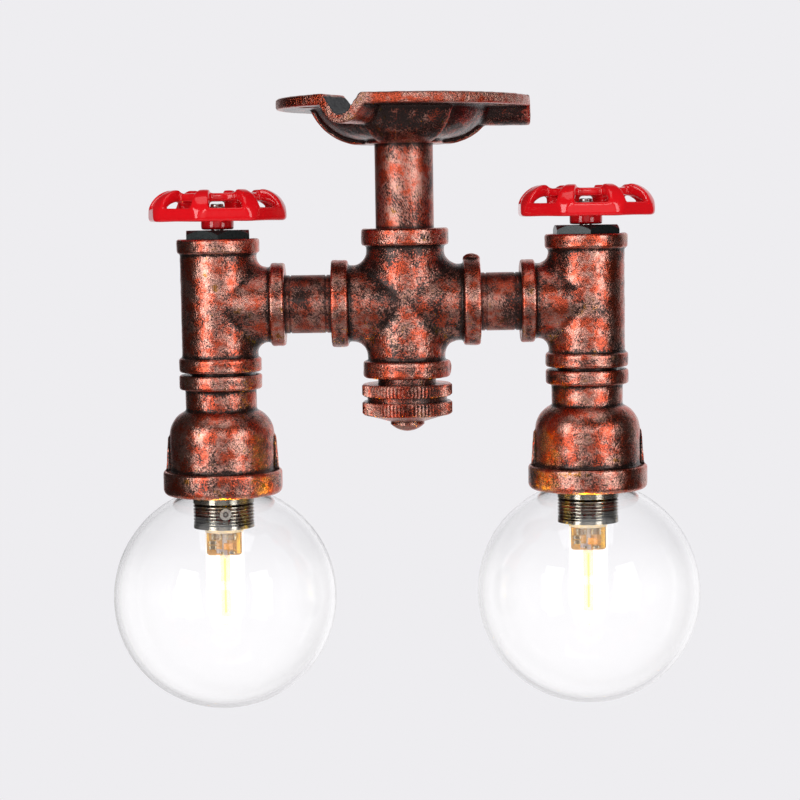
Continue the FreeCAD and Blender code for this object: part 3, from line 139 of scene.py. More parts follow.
def settle(piece, name, body, slot, *finishes):
    """Names a finished piece, puts its place into its mesh and says what it rides on."""
    only(piece)
    bpy.ops.object.transform_apply(location=True, rotation=True, scale=True)
    piece.name = piece.data.name = name
    if finishes:
        piece.data.materials.clear()
        for finish in finishes:
            piece.data.materials.append(finish)
    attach(piece, body)
    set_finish(piece, slot)
    return piece


def finish_node(name, finish):
    """Gives a node of the frame its finish."""
    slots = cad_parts[name].data.materials
    slots.clear()
    slots.append(finish)


def copy_of_node(node):
    """Closed copy of a node's mesh, to be reshaped."""
    piece = bpy.data.objects.new(node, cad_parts[node].data.copy())
    bpy.context.scene.collection.objects.link(piece)
    with editing(piece, "VERT"):
        bpy.ops.mesh.remove_doubles(threshold=WELD)
    return piece


def remeshed(piece, pitch, rounds):
    """Gives a piece even points, a pitch apart, and smooths them in rounds, which softens its edges."""
    shaped_by(piece, "REMESH", mode="VOXEL", voxel_size=pitch, use_smooth_shade=True)
    shaped_by(piece, "SMOOTH", factor=0.5, iterations=rounds)


def box_at(place, size):
    """Box with its middle at a place."""
    bpy.ops.object.select_all(action="DESELECT")
    bpy.ops.mesh.primitive_cube_add(size=1, location=place)
    piece = bpy.context.object
    piece.scale = size
    bpy.ops.object.transform_apply(location=False, rotation=False, scale=True)
    return piece


def joined(pieces):
    """Joins pieces into the first one."""
    only(*pieces)
    bpy.ops.object.join()
    return pieces[0]


def soften(piece, test, width, steps):
    """In edit mode, bevels the edges that pass a test."""
    pick(piece, "edges", test)
    bpy.ops.mesh.bevel(offset=width, segments=steps, affect="EDGES")


def sharp(edge):
    """True for an edge between two faces that turns sharply."""
    return edge.calc_face_angle(0) > SHARP


def cloudy(name, size):
    """Cloud pattern for uneven surfaces, with lumps of a given size."""
    lumps = bpy.data.textures.new(name, "CLOUDS")
    lumps.noise_scale = size
    lumps.noise_depth = 2
    return lumps


def mark_raised(piece, rounds=12):
    """Keeps for each point how far it stands above the surface around it, in RAISED_UNIT, as "raised"."""
    mesh = piece.data
    count = len(mesh.vertices)
    place = np.empty(count * 3)
    mesh.vertices.foreach_get("co", place)
    place = place.reshape(-1, 3)
    normal = np.empty(count * 3)
    mesh.vertices.foreach_get("normal", normal)
    ends = np.empty(len(mesh.edges) * 2, int)
    mesh.edges.foreach_get("vertices", ends)
    first, second = ends.reshape(-1, 2).T
    links = np.bincount(ends, minlength=count)[:, None]
    mean = place.copy()
    for _ in range(rounds):
        mean = np.stack([np.bincount(first, mean[second, axis], count) +
                         np.bincount(second, mean[first, axis], count) for axis in range(3)], 1) / links
    raised = ((place - mean) * normal.reshape(-1, 3)).sum(1) / RAISED_UNIT
    mesh.attributes.new("raised", "FLOAT", "POINT").data.foreach_set("value", raised)


# Materials

def add(tree, kind, inputs=None, **settings):
    """Adds a node, with its settings, and sets or links its inputs."""
    made = tree.nodes.new("ShaderNode" + kind)
    for name, what in settings.items():
        setattr(made, name, what)
    for name, what in (inputs or {}).items():
        if isinstance(what, bpy.types.NodeSocket):
            tree.links.new(what, made.inputs[name])
        elif isinstance(what, tuple) and len(what) == 3 and made.inputs[name].type == "RGBA":
            made.inputs[name].default_value = (*what, 1)
        else:
            made.inputs[name].default_value = what
    return made


def new_material(name):
    """Empty material, its tree and its Object coordinates in millimetres."""
    finish = bpy.data.materials.new(name)
    finish.use_nodes = True
    tree = finish.node_tree
    tree.nodes.clear()
    place = add(tree, "TexCoord").outputs["Object"]
    millimetres = add(tree, "VectorMath", {0: place, "Scale": 1000}, operation="SCALE").outputs[0]
    return finish, tree, millimetres


def close(tree, shader):
    """Leads a shader to the output."""
    add(tree, "OutputMaterial", {"Surface": shader.outputs[0]})


def rubbed_copper(name, grain=0.7, patch=5.0, cover=0.5, streaks=(1, 1, 1), slant=0.0, sand=0.2, rough=0.18):
    """Antique red copper: dark lacquer with copper dust rubbed over it and a clear coat.

    The copper lies in specks of a grain's size that crowd together in patches, thick on raised edges. In
    corners, found by ambient occlusion, it thins out to the dark lacquer: partly the rubbed finish, partly
    painted shade.
    Streaks tells how long a speck is each way, and slant leans it over. The copper shows deep red, pink where
    a lamp strikes it, golden in a few places, and near black where the lacquer is bare. The sand of the mould
    makes it sparkle. Grain, patch and the depth of the sand are in millimetres; the more cover, the less
    lacquer shows.
    """
    colours = bpy.context.scene.pipe_light_copper
    finish, tree, place = new_material(name)
    along = add(tree, "Mapping", {"Vector": place, "Rotation": (0, slant, 0), "Scale": streaks},
                vector_type="TEXTURE").outputs[0]
    speck = add(tree, "TexNoise", {"Vector": along, "Scale": 1 / grain, "Detail": 2.0, "Roughness": 0.8})
    island = add(tree, "TexNoise", {"Vector": along, "Scale": 1 / patch, "Detail": 5.0, "Roughness": 0.62})
    tide = add(tree, "TexNoise", {"Vector": place, "Scale": 1 / 19, "Detail": 2.0, "Roughness": 0.5})
    warmth = add(tree, "TexNoise", {"Vector": place, "Scale": 1 / 7, "Detail": 4.0, "Roughness": 0.7})
    raised = add(tree, "Attribute", attribute_name="raised").outputs["Fac"]
    edge = add(tree, "MapRange", {"Value": raised, "From Min": -0.7, "From Max": 1.0,
                                  "To Min": -0.35, "To Max": 0.45}).outputs[0]
    # Ambient occlusion thins the copper in corners to the dark lacquer: partly the rubbed finish, partly
    # painted shade
    open_to = add(tree, "AmbientOcclusion", {"Distance": 3 * MM}, samples=AO_SAMPLES).outputs["AO"]
    corner_thin_and_shaded = add(tree, "MapRange", {"Value": open_to, "From Min": 0.3, "From Max": 0.85,
                                    "To Min": -0.9, "To Max": 0.0}).outputs[0]
    # The three noises add up to 1.75 on average, and copper begins to show where the sum is over bare
    coat = add(tree, "Math", {0: speck.outputs[0], 1: 1.6, 2: island.outputs[0]}, operation="MULTIPLY_ADD")
    coat = add(tree, "Math", {0: tide.outputs[0], 1: 0.9, 2: coat.outputs[0]}, operation="MULTIPLY_ADD")
    coat = add(tree, "Math", {0: coat.outputs[0], 1: edge}, operation="ADD")
    coat = add(tree, "Math", {0: coat.outputs[0], 1: corner_thin_and_shaded}, operation="ADD").outputs[0]
    bare = 1.75 - cover * 0.5
    share = add(tree, "MapRange", {"Value": coat, "From Min": bare, "From Max": bare + 0.36},
                interpolation_type="SMOOTHSTEP").outputs[0]
    fresh = add(tree, "MapRange", {"Value": warmth.outputs[0], "From Min": 0.42, "From Max": 0.58}).outputs[0]
    metal = add(tree, "Mix", {0: fresh, 6: tuple(colours.copper), 7: tuple(colours.copper_red)},
                data_type="RGBA")
    gilt = add(tree, "MapRange", {"Value": warmth.outputs[0], "From Min": 0.38, "From Max": 0.31}).outputs[0]
    metal = add(tree, "Mix", {0: gilt, 6: metal.outputs[2], 7: tuple(colours.golden)}, data_type="RGBA")
    colour = add(tree, "Mix", {0: share, 6: tuple(colours.ground), 7: metal.outputs[2]}, data_type="RGBA")
    metallic = add(tree, "MapRange", {"Value": share, "To Min": 0.8, "To Max": 1.0}).outputs[0]
    sheen = add(tree, "MapRange", {"Value": speck.outputs[0], "From Min": 0.3, "From Max": 0.7,
                                   "To Min": rough, "To Max": rough + 0.14}).outputs[0]
    skin = add(tree, "TexNoise", {"Vector": place, "Scale": 1 / 1.1, "Detail": 3.0, "Roughness": 0.6})
    relief = add(tree, "Math", {0: speck.outputs[0], 1: 0.6, 2: skin.outputs[0]}, operation="MULTIPLY_ADD")
    bump = add(tree, "Bump", {"Height": relief.outputs[0], "Strength": 0.9, "Distance": sand * MM})
    close(tree, add(tree, "BsdfPrincipled", {
        "Base Color": colour.outputs[2], "Metallic": metallic, "Roughness": sheen,
        "Normal": bump.outputs[0], "Coat Weight": 0.25, "Coat Roughness": 0.25}))
    return finish


def gloss_enamel():
    """Red enamel, dipped: thick, wet-looking and a little wavy, with painted shade that darkens it in
    corners.
    """
    colours = bpy.context.scene.pipe_light_wheels
    finish, tree, place = new_material("Enamel, dipped, gloss red")
    # Painted shade: ambient occlusion darkens the red in corners
    open_to = add(tree, "AmbientOcclusion", {"Distance": 5 * MM}, samples=AO_SAMPLES).outputs["AO"]
    corner_shade = add(tree, "MapRange", {"Value": open_to, "From Min": 0.2, "From Max": 0.75}).outputs[0]
    colour = add(tree, "Mix", {0: corner_shade, 6: tuple(colours.corner_shade), 7: tuple(colours.enamel)},
                 data_type="RGBA")
    wave = add(tree, "TexNoise", {"Vector": place, "Scale": 1 / 3.5, "Detail": 1.0})
    bump = add(tree, "Bump", {"Height": wave.outputs[0], "Strength": 0.25, "Distance": 0.2 * MM})
    rough = add(tree, "MapRange", {"Value": wave.outputs[0], "To Min": 0.1, "To Max": 0.18}).outputs[0]
    close(tree, add(tree, "BsdfPrincipled", {
        "Base Color": colour.outputs[2], "Roughness": rough, "Normal": bump.outputs[0],
        "IOR": 1.5, "Coat Weight": 0.3, "Coat Roughness": 0.04}))
    return finish


def worn_metal(name, light, dark, rough, grain, stretch=(1, 1, 1), depth=0.03, groove_shade=False):
    """Plated or turned metal: two tones of one metal in fine marks, which the sheen follows.

    The last flag paints shade into grooves and gaps up to 1.5 mm wide: ambient occlusion darkens them nearly
    to black.
    """
    finish, tree, place = new_material(name)
    drawn = add(tree, "Mapping", {"Vector": place, "Scale": stretch}).outputs[0]
    marks = add(tree, "TexNoise", {"Vector": drawn, "Scale": 1 / grain, "Detail": 4.0, "Roughness": 0.65})
    share = add(tree, "MapRange", {"Value": marks.outputs[0], "From Min": 0.35, "From Max": 0.65}).outputs[0]
    colour = add(tree, "Mix", {0: share, 6: linear(dark), 7: linear(light)}, data_type="RGBA")
    if groove_shade:
        # Painted shade: ambient occlusion darkens grooves and gaps nearly to black
        open_to = add(tree, "AmbientOcclusion", {"Distance": 1.5 * MM}, samples=AO_SAMPLES).outputs["AO"]
        film = add(tree, "MapRange", {"Value": open_to, "From Min": 0.5, "From Max": 0.92}).outputs[0]
        colour = add(tree, "Mix", {0: film, 6: linear("#0E0C0A"), 7: colour.outputs[2]}, data_type="RGBA")
    shine = add(tree, "MapRange", {"Value": share, "To Min": rough * 1.35, "To Max": rough * 0.8}).outputs[0]
    bump = add(tree, "Bump", {"Height": marks.outputs[0], "Strength": 0.5, "Distance": depth * MM})
    close(tree, add(tree, "BsdfPrincipled", {
        "Base Color": colour.outputs[2], "Metallic": 1.0, "Roughness": shine, "Normal": bump.outputs[0]}))
    return finish


def moulded(name, light, dark, rough, grain, depth=0.03):
    """Fired, moulded or coated non-metal: a mottled tone with a faint skin."""
    finish, tree, place = new_material(name)
    marks = add(tree, "TexNoise", {"Vector": place, "Scale": 1 / grain, "Detail": 3.0, "Roughness": 0.6})
    share = add(tree, "MapRange", {"Value": marks.outputs[0], "From Min": 0.35, "From Max": 0.65}).outputs[0]
    colour = add(tree, "Mix", {0: share, 6: linear(dark), 7: linear(light)}, data_type="RGBA")
    shine = add(tree, "MapRange", {"Value": share, "To Min": rough * 1.2, "To Max": rough * 0.85}).outputs[0]
    bump = add(tree, "Bump", {"Height": marks.outputs[0], "Strength": 0.5, "Distance": depth * MM})
    close(tree, add(tree, "BsdfPrincipled", {"Base Color": colour.outputs[2], "Roughness": shine,
                                             "Normal": bump.outputs[0]}))
    return finish


def worn_black_iron():
    """Malleable iron with a black satin coat, a little grey on the faces."""
    finish, tree, place = new_material("Black coat, satin, on malleable iron")
    skin = add(tree, "TexNoise", {"Vector": place, "Scale": 1 / 0.9, "Detail": 3.0, "Roughness": 0.6})
    colour = add(tree, "Mix", {0: skin.outputs[0], 6: linear("#14191A"), 7: linear("#2C3434")},
                 data_type="RGBA")
    bump = add(tree, "Bump", {"Height": skin.outputs[0], "Strength": 0.4, "Distance": 0.06 * MM})
    rough = add(tree, "MapRange", {"Value": skin.outputs[0], "To Min": 0.22, "To Max": 0.36}).outputs[0]
    close(tree, add(tree, "BsdfPrincipled", {
        "Base Color": colour.outputs[2], "Metallic": 0.55, "Roughness": rough, "Normal": bump.outputs[0],
        "Coat Weight": 0.3, "Coat Roughness": 0.2}))
    return finish


def earth_sleeve():
    """Silicone sleeve of the earth lead, extruded: green with yellow stripes across it."""
    finish, tree, place = new_material("Silicone, extruded, green and yellow")
    # Millimetres from stripe to stripe. At scale 1 a diagonal wave repeats every pi / 5 along an axis
    apart = 2.513
    stripe = add(tree, "TexWave", {"Vector": place, "Scale": math.pi / 5 / apart, "Distortion": 0.3},
                 bands_direction="DIAGONAL").outputs["Fac"]
    share = add(tree, "MapRange", {"Value": stripe, "From Min": 0.55, "From Max": 0.65}).outputs[0]
    colour = add(tree, "Mix", {0: share, 6: linear("#2E8B3A"), 7: linear("#E7C928")}, data_type="RGBA")
    close(tree, add(tree, "BsdfPrincipled", {"Base Color": colour.outputs[2], "Roughness": 0.5}))
    return finish


def clear(name, tint, ior, glow, fade, above="#000000"):
    """Clear glass or silicone with a faint waviness, filled with white light from the strip in it.

    The glow is painted light, given off by the surface itself. Its white fades into the colour given for
    above over a stretch of heights, in millimetres over the lower edge of the driver board. Shadow rays and
    rays off matt faces go straight through.
    """
    finish, tree, place = new_material(name)
    edge = bpy.context.scene.pipe_light_lamps.board_edge / MM
    # Painted glow: the surface emits white light near the board's lower edge, turning to the colour above
    # higher up
    height = add(tree, "SeparateXYZ", {0: place}).outputs["Z"]
    share = add(tree, "MapRange", {"Value": height, "From Min": edge + fade[0], "From Max": edge + fade[1]},
                interpolation_type="SMOOTHSTEP").outputs[0]
    tone = add(tree, "Mix", {0: share, 6: linear("#FFFEF9"), 7: linear(above)}, data_type="RGBA")
    wave = add(tree, "TexNoise", {"Vector": place, "Scale": 1 / 22, "Detail": 1.0})
    bump = add(tree, "Bump", {"Height": wave.outputs[0], "Strength": 0.12, "Distance": 0.3 * MM})
    glass = add(tree, "BsdfPrincipled", {
        "Base Color": linear(tint), "Roughness": 0.0, "IOR": ior, "Transmission Weight": 1.0,
        "Normal": bump.outputs[0], "Emission Color": tone.outputs[2], "Emission Strength": glow})
    rays = add(tree, "LightPath").outputs
    passed = add(tree, "Math", {0: rays["Is Shadow Ray"], 1: rays["Is Diffuse Ray"]}, operation="MAXIMUM")
    open_way = add(tree, "BsdfTransparent", {"Color": linear("#FCFCFC")})
    close(tree, add(tree, "MixShader", {0: passed.outputs[0], 1: glass.outputs[0], 2: open_way.outputs[0]}))
    return finish


def lit_phosphor(name, colour, strength):
    """Light-giving phosphor over a row of chips, a little brighter over each chip."""
    finish, tree, place = new_material(name)
    # Millimetres from chip to chip. At scale 1 a wave along one axis repeats every pi / 10
    apart = 1.428
    row = add(tree, "TexWave", {"Vector": place, "Scale": math.pi / 10 / apart},
              bands_direction="Z").outputs["Fac"]
    level = add(tree, "MapRange", {"Value": row, "To Min": strength * 0.75, "To Max": strength}).outputs[0]
    close(tree, add(tree, "BsdfPrincipled", {"Base Color": linear("#F4D06A"), "Roughness": 0.5,
                                             "Emission Color": colour, "Emission Strength": level}))
    return finish


# Castings

class CopperColours(bpy.types.PropertyGroup):
    ground: FloatVectorProperty(name="Ground", description="Dark lacquer under the copper", subtype="COLOR",
                                size=3, min=0, max=1, default=linear("#352521"))
    copper: FloatVectorProperty(name="Copper", description="Pink copper dust", subtype="COLOR",
                                size=3, min=0, max=1, default=linear("#DAA090"))
    copper_red: FloatVectorProperty(name="Red copper", subtype="COLOR", size=3, min=0, max=1,
                                    description="Copper dust where the lacquer over it is red",
                                    default=linear("#D65A3C"))
    golden: FloatVectorProperty(name="Golden copper", description="Copper where the dust is yellow",
                                subtype="COLOR", size=3, min=0, max=1, default=linear("#B97A3C"))


class CastingSizes(bpy.types.PropertyGroup):
    pitch: FloatProperty(name="Pitch", description="Spacing of the points on the surface of a casting",
                         unit="LENGTH", default=0.5 * MM, min=0.2 * MM)
    rounding: IntProperty(name="Rounding", description="Smoothing passes that round the edges",
                          default=3, min=0)
    swell: FloatProperty(name="Swell", description="Height of the uneven places that sand leaves",
                         unit="LENGTH", default=0.28 * MM)
    seam_wide: FloatProperty(name="Seam width", description="Width of the ridge where the mould parts",
                             unit="LENGTH", default=1.1 * MM)
    seam_high: FloatProperty(name="Seam height", description="Height of that ridge", unit="LENGTH",
                             default=0.3 * MM)
    flange_pitch: FloatProperty(name="Flange pitch", description="Spacing of the points on the flange",
                                unit="LENGTH", default=0.66 * MM, min=0.2 * MM)
    cross_pitch: FloatProperty(name="Cross pitch", description="Spacing of the points on the cross",
                               unit="LENGTH", default=0.56 * MM, min=0.2 * MM)


def cast(node, name, finish, seam=None, pitch=None, stubs=()):
    """Copy of a node with a casting's soft edges, uneven skin and mould seam.

    The seam runs at the middle plane where its test is true. Stubs are round lumps, each a place and a size.
    """
    sizes = bpy.context.scene.pipe_light_castings
    piece = copy_of_node(node)
    lumps = []
    for place, size in stubs:
        bpy.ops.object.select_all(action="DESELECT")
        bpy.ops.mesh.primitive_ico_sphere_add(subdivisions=3, radius=1, location=place, scale=size)
        lumps.append(bpy.context.object)
    if lumps:
        joined([piece, *lumps])
    remeshed(piece, pitch or sizes.pitch, sizes.rounding)
    if seam:
        ridge = piece.vertex_groups.new(name="seam")
        for point in piece.data.vertices:
            share = 1 - abs(point.co.y) / sizes.seam_wide * 2
            if share > 0 and seam(point.co):
                ridge.add([point.index], min(share * 2, 1), "REPLACE")
        shaped_by(piece, "DISPLACE", texture=cloudy(name + "_seam", 3.5 * MM), strength=sizes.seam_high,
                  mid_level=0.2, vertex_group="seam")
        piece.vertex_groups.clear()
    shaped_by(piece, "DISPLACE", texture=cloudy(name + "_skin", 5 * MM), strength=sizes.swell, mid_level=0.6)
    mark_raised(piece)
    settle(piece, name, "root", "aged_copper", finish)
    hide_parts(node)
    return piece


def coat_flange(flange):
    """Leaves lacquer on the ceiling side and in the cable channels, out of the rubbing pad's reach.

    The copper lies thick on the outer 7 percent, the rim.
    """
    lacquer = moulded("Lacquer, sprayed dark grey, satin", "#3A3B3E", "#2B2B2D", 0.5, 1.1, 0.08)
    thick = rubbed_copper("Antique copper, rubbed thick on the rim", 0.9, 6.0, 0.62, sand=0.8)
    flange.data.materials.append(lacquer)
    flange.data.materials.append(thick)
    inner = 0.93 * max(point.co.x for point in flange.data.vertices)
    for face in flange.data.polygons:
        on_ceiling = face.normal.z > 0.95
        in_channel = face.normal.z > 0.3 and face.center.z < -1.2 * MM
        on_rim = face.center.xy.length > inner and face.normal.z > -0.6
        if on_ceiling or in_channel:
            face.material_index = 1
        elif on_rim:
            face.material_index = 2


class PIPE_LIGHT_OT_castings(bpy.types.Operator):
    """Builds the ceiling flange, the cross, the tees and the bells"""
    bl_idname = "pipe_light.castings"
    bl_label = "Castings"

    def execute(self, context):
        sizes = context.scene.pipe_light_castings
        finish = rubbed_copper("Antique copper, rubbed over cast iron")
        thin = rubbed_copper("Antique copper, rubbed thin over cast iron", 0.7, 6.0, -0.02)
        coat_flange(cast("ceiling_flange", "cast_flange", thin, pitch=sizes.flange_pitch))

        crossed = rubbed_copper("Antique copper, rubbed over coarse cast iron", 0.8, 5.0, 0.36, sand=0.28)
        low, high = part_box("cross_fitting")
        centre = (low + high) / 2
        # Stubs that the gates left on the cross, on top of its right band and beside its lower one
        stubs = (((high.x - 3.9 * MM, 0, high.z - 14.4 * MM), (4.1 * MM, 3.2 * MM, 2.3 * MM)),
                 ((centre.x + 19.3 * MM, 0, low.z + 4.2 * MM), (1.5 * MM, 2.4 * MM, 3.6 * MM)))

        def off_both_bores(point):
            return abs(point.x - centre.x) > BORE_REACH and abs(point.z - centre.z) > BORE_REACH

        cast("cross_fitting", "cast_cross", crossed, off_both_bores, sizes.cross_pitch, stubs)
        for side in SIDES:
            low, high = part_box("spindle_" + side)
            axis = (low.x + high.x) / 2
            cast("tee_" + side, "cast_tee_" + side, finish,
                 lambda point, axis=axis: abs(point.x - axis) > BORE_REACH)
            cast("bell_" + side, "cast_bell_" + side, finish)
        return {"FINISHED"}


class PIPE_LIGHT_OT_pipes(bpy.types.Operator):
    """Finishes the stem, the nipples and the knurled rings"""
    bl_idname = "pipe_light.pipes"
    bl_label = "Pipes and knurled rings"

    def execute(self, context):
        # Steel pipe, brushed by hand at a slant before the clear coat: streaks three times as long as wide
        pipe = rubbed_copper("Antique copper, brushed over steel pipe", 0.45, 5.0, 0.56,
                             streaks=(1, 1, 3), slant=-0.45, sand=0.2, rough=0.3)
        finish_node("stem_pipe", pipe)
        for side in SIDES:
            finish_node("arm_nipple_" + side, pipe)
            finish_node("drop_nipple_" + side, pipe)
        knurled = rubbed_copper("Antique copper, rubbed over turned knurls", 0.5, 4.0, 0.62)
        finish_node("knurled_lock_ring", knurled)
        finish_node("knurled_plug", knurled)
        return {"FINISHED"}


# Handwheels and glands

class WheelLooks(bpy.types.PropertyGroup):
    enamel: FloatVectorProperty(name="Enamel", description="Red of the handwheels", subtype="COLOR",
                                size=3, min=0, max=1, default=linear("#E5101A"))
    # Darker red that ambient occlusion paints into the corners as shade
    corner_shade: FloatVectorProperty(name="Enamel in painted corner shade", description="Red in the corners of the handwheels",
                                subtype="COLOR", size=3, min=0, max=1, default=linear("#8E0A10"))
    pitch: FloatProperty(name="Pitch", description="Spacing of the points on a handwheel", unit="LENGTH",
                         default=0.42 * MM)
    rounding: IntProperty(name="Rounding", description="Smoothing passes that round the edges", default=34)


class PIPE_LIGHT_OT_handwheels(bpy.types.Operator):
    """Builds the enamelled handwheels and finishes their spindles and nuts"""
    bl_idname = "pipe_light.handwheels"
    bl_label = "Handwheels"

    def execute(self, context):
        sizes = context.scene.pipe_light_wheels
        enamel = gloss_enamel()
        # Zinc plate, bright, with fine turning marks around the thread
        zinc = worn_metal("Zinc plate, bright", "#D8D7D2", "#A9A8A4", 0.24, 0.5, (1, 1, 4))
        iron = worn_black_iron()
        for side in SIDES:
            piece = copy_of_node("handwheel_" + side)
            remeshed(piece, sizes.pitch, sizes.rounding)
            settle(piece, "enamelled_wheel_" + side, "wheel_" + side, "red_enamel", enamel)
            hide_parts("handwheel_" + side)
            for node in ("spindle_", "wheel_nut_", "keeper_nut_"):
                finish_node(node + side, zinc)
            finish_node("gland_bushing_" + side, iron)
        return {"FINISHED"}


# Lampholders and wiring

class PIPE_LIGHT_OT_lampholders(bpy.types.Operator):
    """Finishes the lampholders, their screws, the leads and the terminal block"""
    bl_idname = "pipe_light.lampholders"
    bl_label = "Lampholders and wiring"

    def execute(self, context):
        # Dark nickel on turned brass: warm grey mirror with fine marks around the thread
        # Both nickel finishes get painted shade in their grooves and gaps
        nickel = worn_metal("Dark nickel plate, turned", "#C2BCB0", "#7B756B", 0.18, 0.4,
                            stretch=(0.5, 0.5, 6), depth=0.02, groove_shade=True)
        bright = worn_metal("Nickel plate, worn bright", "#E4E0D7", "#BDB8AD", 0.2, 0.6, groove_shade=True)
        zinc = worn_metal("Zinc plate, dull", "#C4C3BE", "#8F8E8A", 0.34, 0.6)
        bronze = worn_metal("Phosphor bronze, rolled", "#C8934B", "#9A6A30", 0.3, 0.5, (4, 1, 1))
        steatite = moulded("Steatite, pressed and fired", "#EAE5DA", "#D6D0C2", 0.6, 0.8)
        nylon = moulded("Nylon, moulded, milky", "#EDEBE4", "#DDDAD0", 0.4, 2.0)
        black = moulded("Silicone, extruded, black", "#262626", "#161616", 0.5, 0.7)
        white = moulded("Silicone, extruded, white", "#ECEAE4", "#D9D6CE", 0.5, 0.7)
        for side in SIDES:
            for node, finish in (("holder_bushing_", zinc), ("holder_tube_", zinc), ("tube_nuts_", zinc),
                                 ("lampholder_shell_", nickel), ("shell_screw_", bright),
                                 ("lampholder_ceramic_", steatite), ("holder_contacts_", bronze),
                                 ("live_lead_", black), ("neutral_lead_", white)):
                finish_node(node + side, finish)
        for node, finish in (("terminal_block", nylon), ("clamp_screws", zinc), ("block_screw", zinc),
                             ("earth_screw", bronze), ("earth_lead", earth_sleeve())):
            finish_node(node, finish)
        return {"FINISHED"}


# Lamps

class LampSizes(bpy.types.PropertyGroup):
    light: FloatVectorProperty(name="Light", description="Colour of the lamps' light", subtype="COLOR",
                               size=3, min=0, max=1, default=linear("#FFCB00"))
    strength: FloatProperty(name="Strength", description="How strongly the light strips shine",
                            default=5000.0)
    bead: FloatProperty(name="Bead", description="Width of the phosphor bead on a light strip",
                        unit="LENGTH", default=0.7 * MM)
    bead_short: FloatProperty(name="Bead ends", description="Bare end of a light strip", unit="LENGTH",
                              default=1.5 * MM)
    glow: FloatProperty(name="Glow", description="How strongly the clear capsules glow", default=0.22)
    board_edge: FloatProperty(name="Board edge", description="Height of the lower edge of the driver boards",
                              unit="LENGTH", default=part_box("lamp_board_left")[0].z)


# The parts on the driver board: middle across and above its lower edge, width, height and thickness in
# millimetres, which face (-1 front, 1 back), the kind of body, and whether it has bright ends
BOARD_PARTS = (
    (-2.8, 8.6, 3.6, 2.7, 1.9, -1, "capacitor", True),
    (2.8, 8.6, 3.6, 2.7, 1.9, -1, "capacitor", True),
    (-4.2, 5.9, 2.8, 1.4, 1.2, -1, "resistor", True),
    (-4.2, 3.7, 2.8, 1.7, 1.2, -1, "resistor", True),
    (1.5, 4.2, 3.4, 2.8, 1.6, -1, "film", False),
    (2.7, 1.2, 2.1, 1.3, 0.9, -1, "resistor", True),
    (-0.9, 1.2, 1.3, 1.0, 0.6, -1, "resistor", True),
    (0.1, 3.7, 1.7, 7.2, 0.25, -1, "mask", False),
    (0.1, 9.0, 1.5, 3.6, 0.25, -1, "mask", False),
    (-1.3, 2.0, 3.0, 1.8, 0.2, -1, "mask", False),
    (5.2, 5.6, 1.7, 9.6, 0.2, -1, "pad", False),
    (-5.9, 8.4, 0.7, 3.6, 0.2, -1, "pad", False),
    (-2.0, 6.2, 5.6, 5.2, 1.8, 1, "bridge", False),
    (3.0, 3.6, 2.8, 1.9, 1.1, 1, "capacitor", True),
    (3.0, 8.2, 3.0, 3.6, 1.4, 1, "film", False),
    (-2.5, 1.6, 2.8, 1.4, 0.9, 1, "resistor", True),
)


def board_part(axis, low, across, up, wide, tall, thick, side, body, ends):
    """One component, its body with soft edges and, where it has them, a bright cap at each end."""
    depth = side * (BOARD_THICK / 2 + thick * MM / 2)
    piece = box_at((axis + across * MM, depth, low + up * MM), (wide * MM, thick * MM, tall * MM))
    piece.data.materials.append(body)
    piece.data.materials.append(ends)
    cap = 0.2 * wide * MM
    with editing(piece):
        for way in (-1, 1):
            if ends:
                pick(piece, "faces", lambda face, way=way: face.normal.x * way > 0.9)
                bpy.ops.transform.translate(value=(-way * cap, 0, 0))
                bpy.ops.mesh.extrude_region_move(TRANSFORM_OT_translate={"value": (way * cap, 0, 0)})
        bpy.ops.mesh.select_all(action="SELECT")
        soften(piece, sharp, 0.06 * wide * MM, 2)
    if ends:
        for face in piece.data.polygons:
            face.material_index = int(abs(face.center.x) > wide * MM / 2 - cap)
    return piece


def driver_board(low, high):
    """Board with rounded corners and the components on both of its faces."""
    bodies = {
        "capacitor": moulded("Ceramic chip, fired, brown", "#5A3D22", "#3F2914", 0.4, 0.8),
        "resistor": moulded("Glazed chip, dark", "#3B2E26", "#241C17", 0.3, 0.8),
        "film": moulded("Epoxy dip, amber", "#E59A2C", "#C97F1C", 0.3, 1.0),
        "bridge": moulded("Moulded epoxy, black", "#1F1F20", "#141415", 0.45, 0.8),
        "mask": moulded("Solder mask, grey", "#A29DA8", "#8B8691", 0.45, 0.9),
        "pad": worn_metal("Gold flash on copper pads", "#F2C45A", "#DBA23C", 0.3, 0.8),
    }
    solder = worn_metal("Solder, bright", "#D9D8D2", "#B0AFA9", 0.25, 0.8)
    axis = (low.x + high.x) / 2
    tall = high.z - low.z - 0.1 * MM
    plate = box_at((axis, 0, low.z + tall / 2), (high.x - low.x, BOARD_THICK, tall))
    plate.data.materials.append(moulded("Glass epoxy board, bare, amber", "#C48F45", "#94642C", 0.4, 1.2))

    def at_corner(edge):
        return abs(edge.verts[0].co.y - edge.verts[1].co.y) > BOARD_THICK / 2

    with editing(plate):
        soften(plate, at_corner, 1.1 * MM, 4)
    parts = [board_part(axis, low.z, *row[:6], bodies[row[6]], solder if row[7] else None)
             for row in BOARD_PARTS]
    return settle(joined([plate, *parts]), "driver_board_left", "lamp_left", "circuit_board")


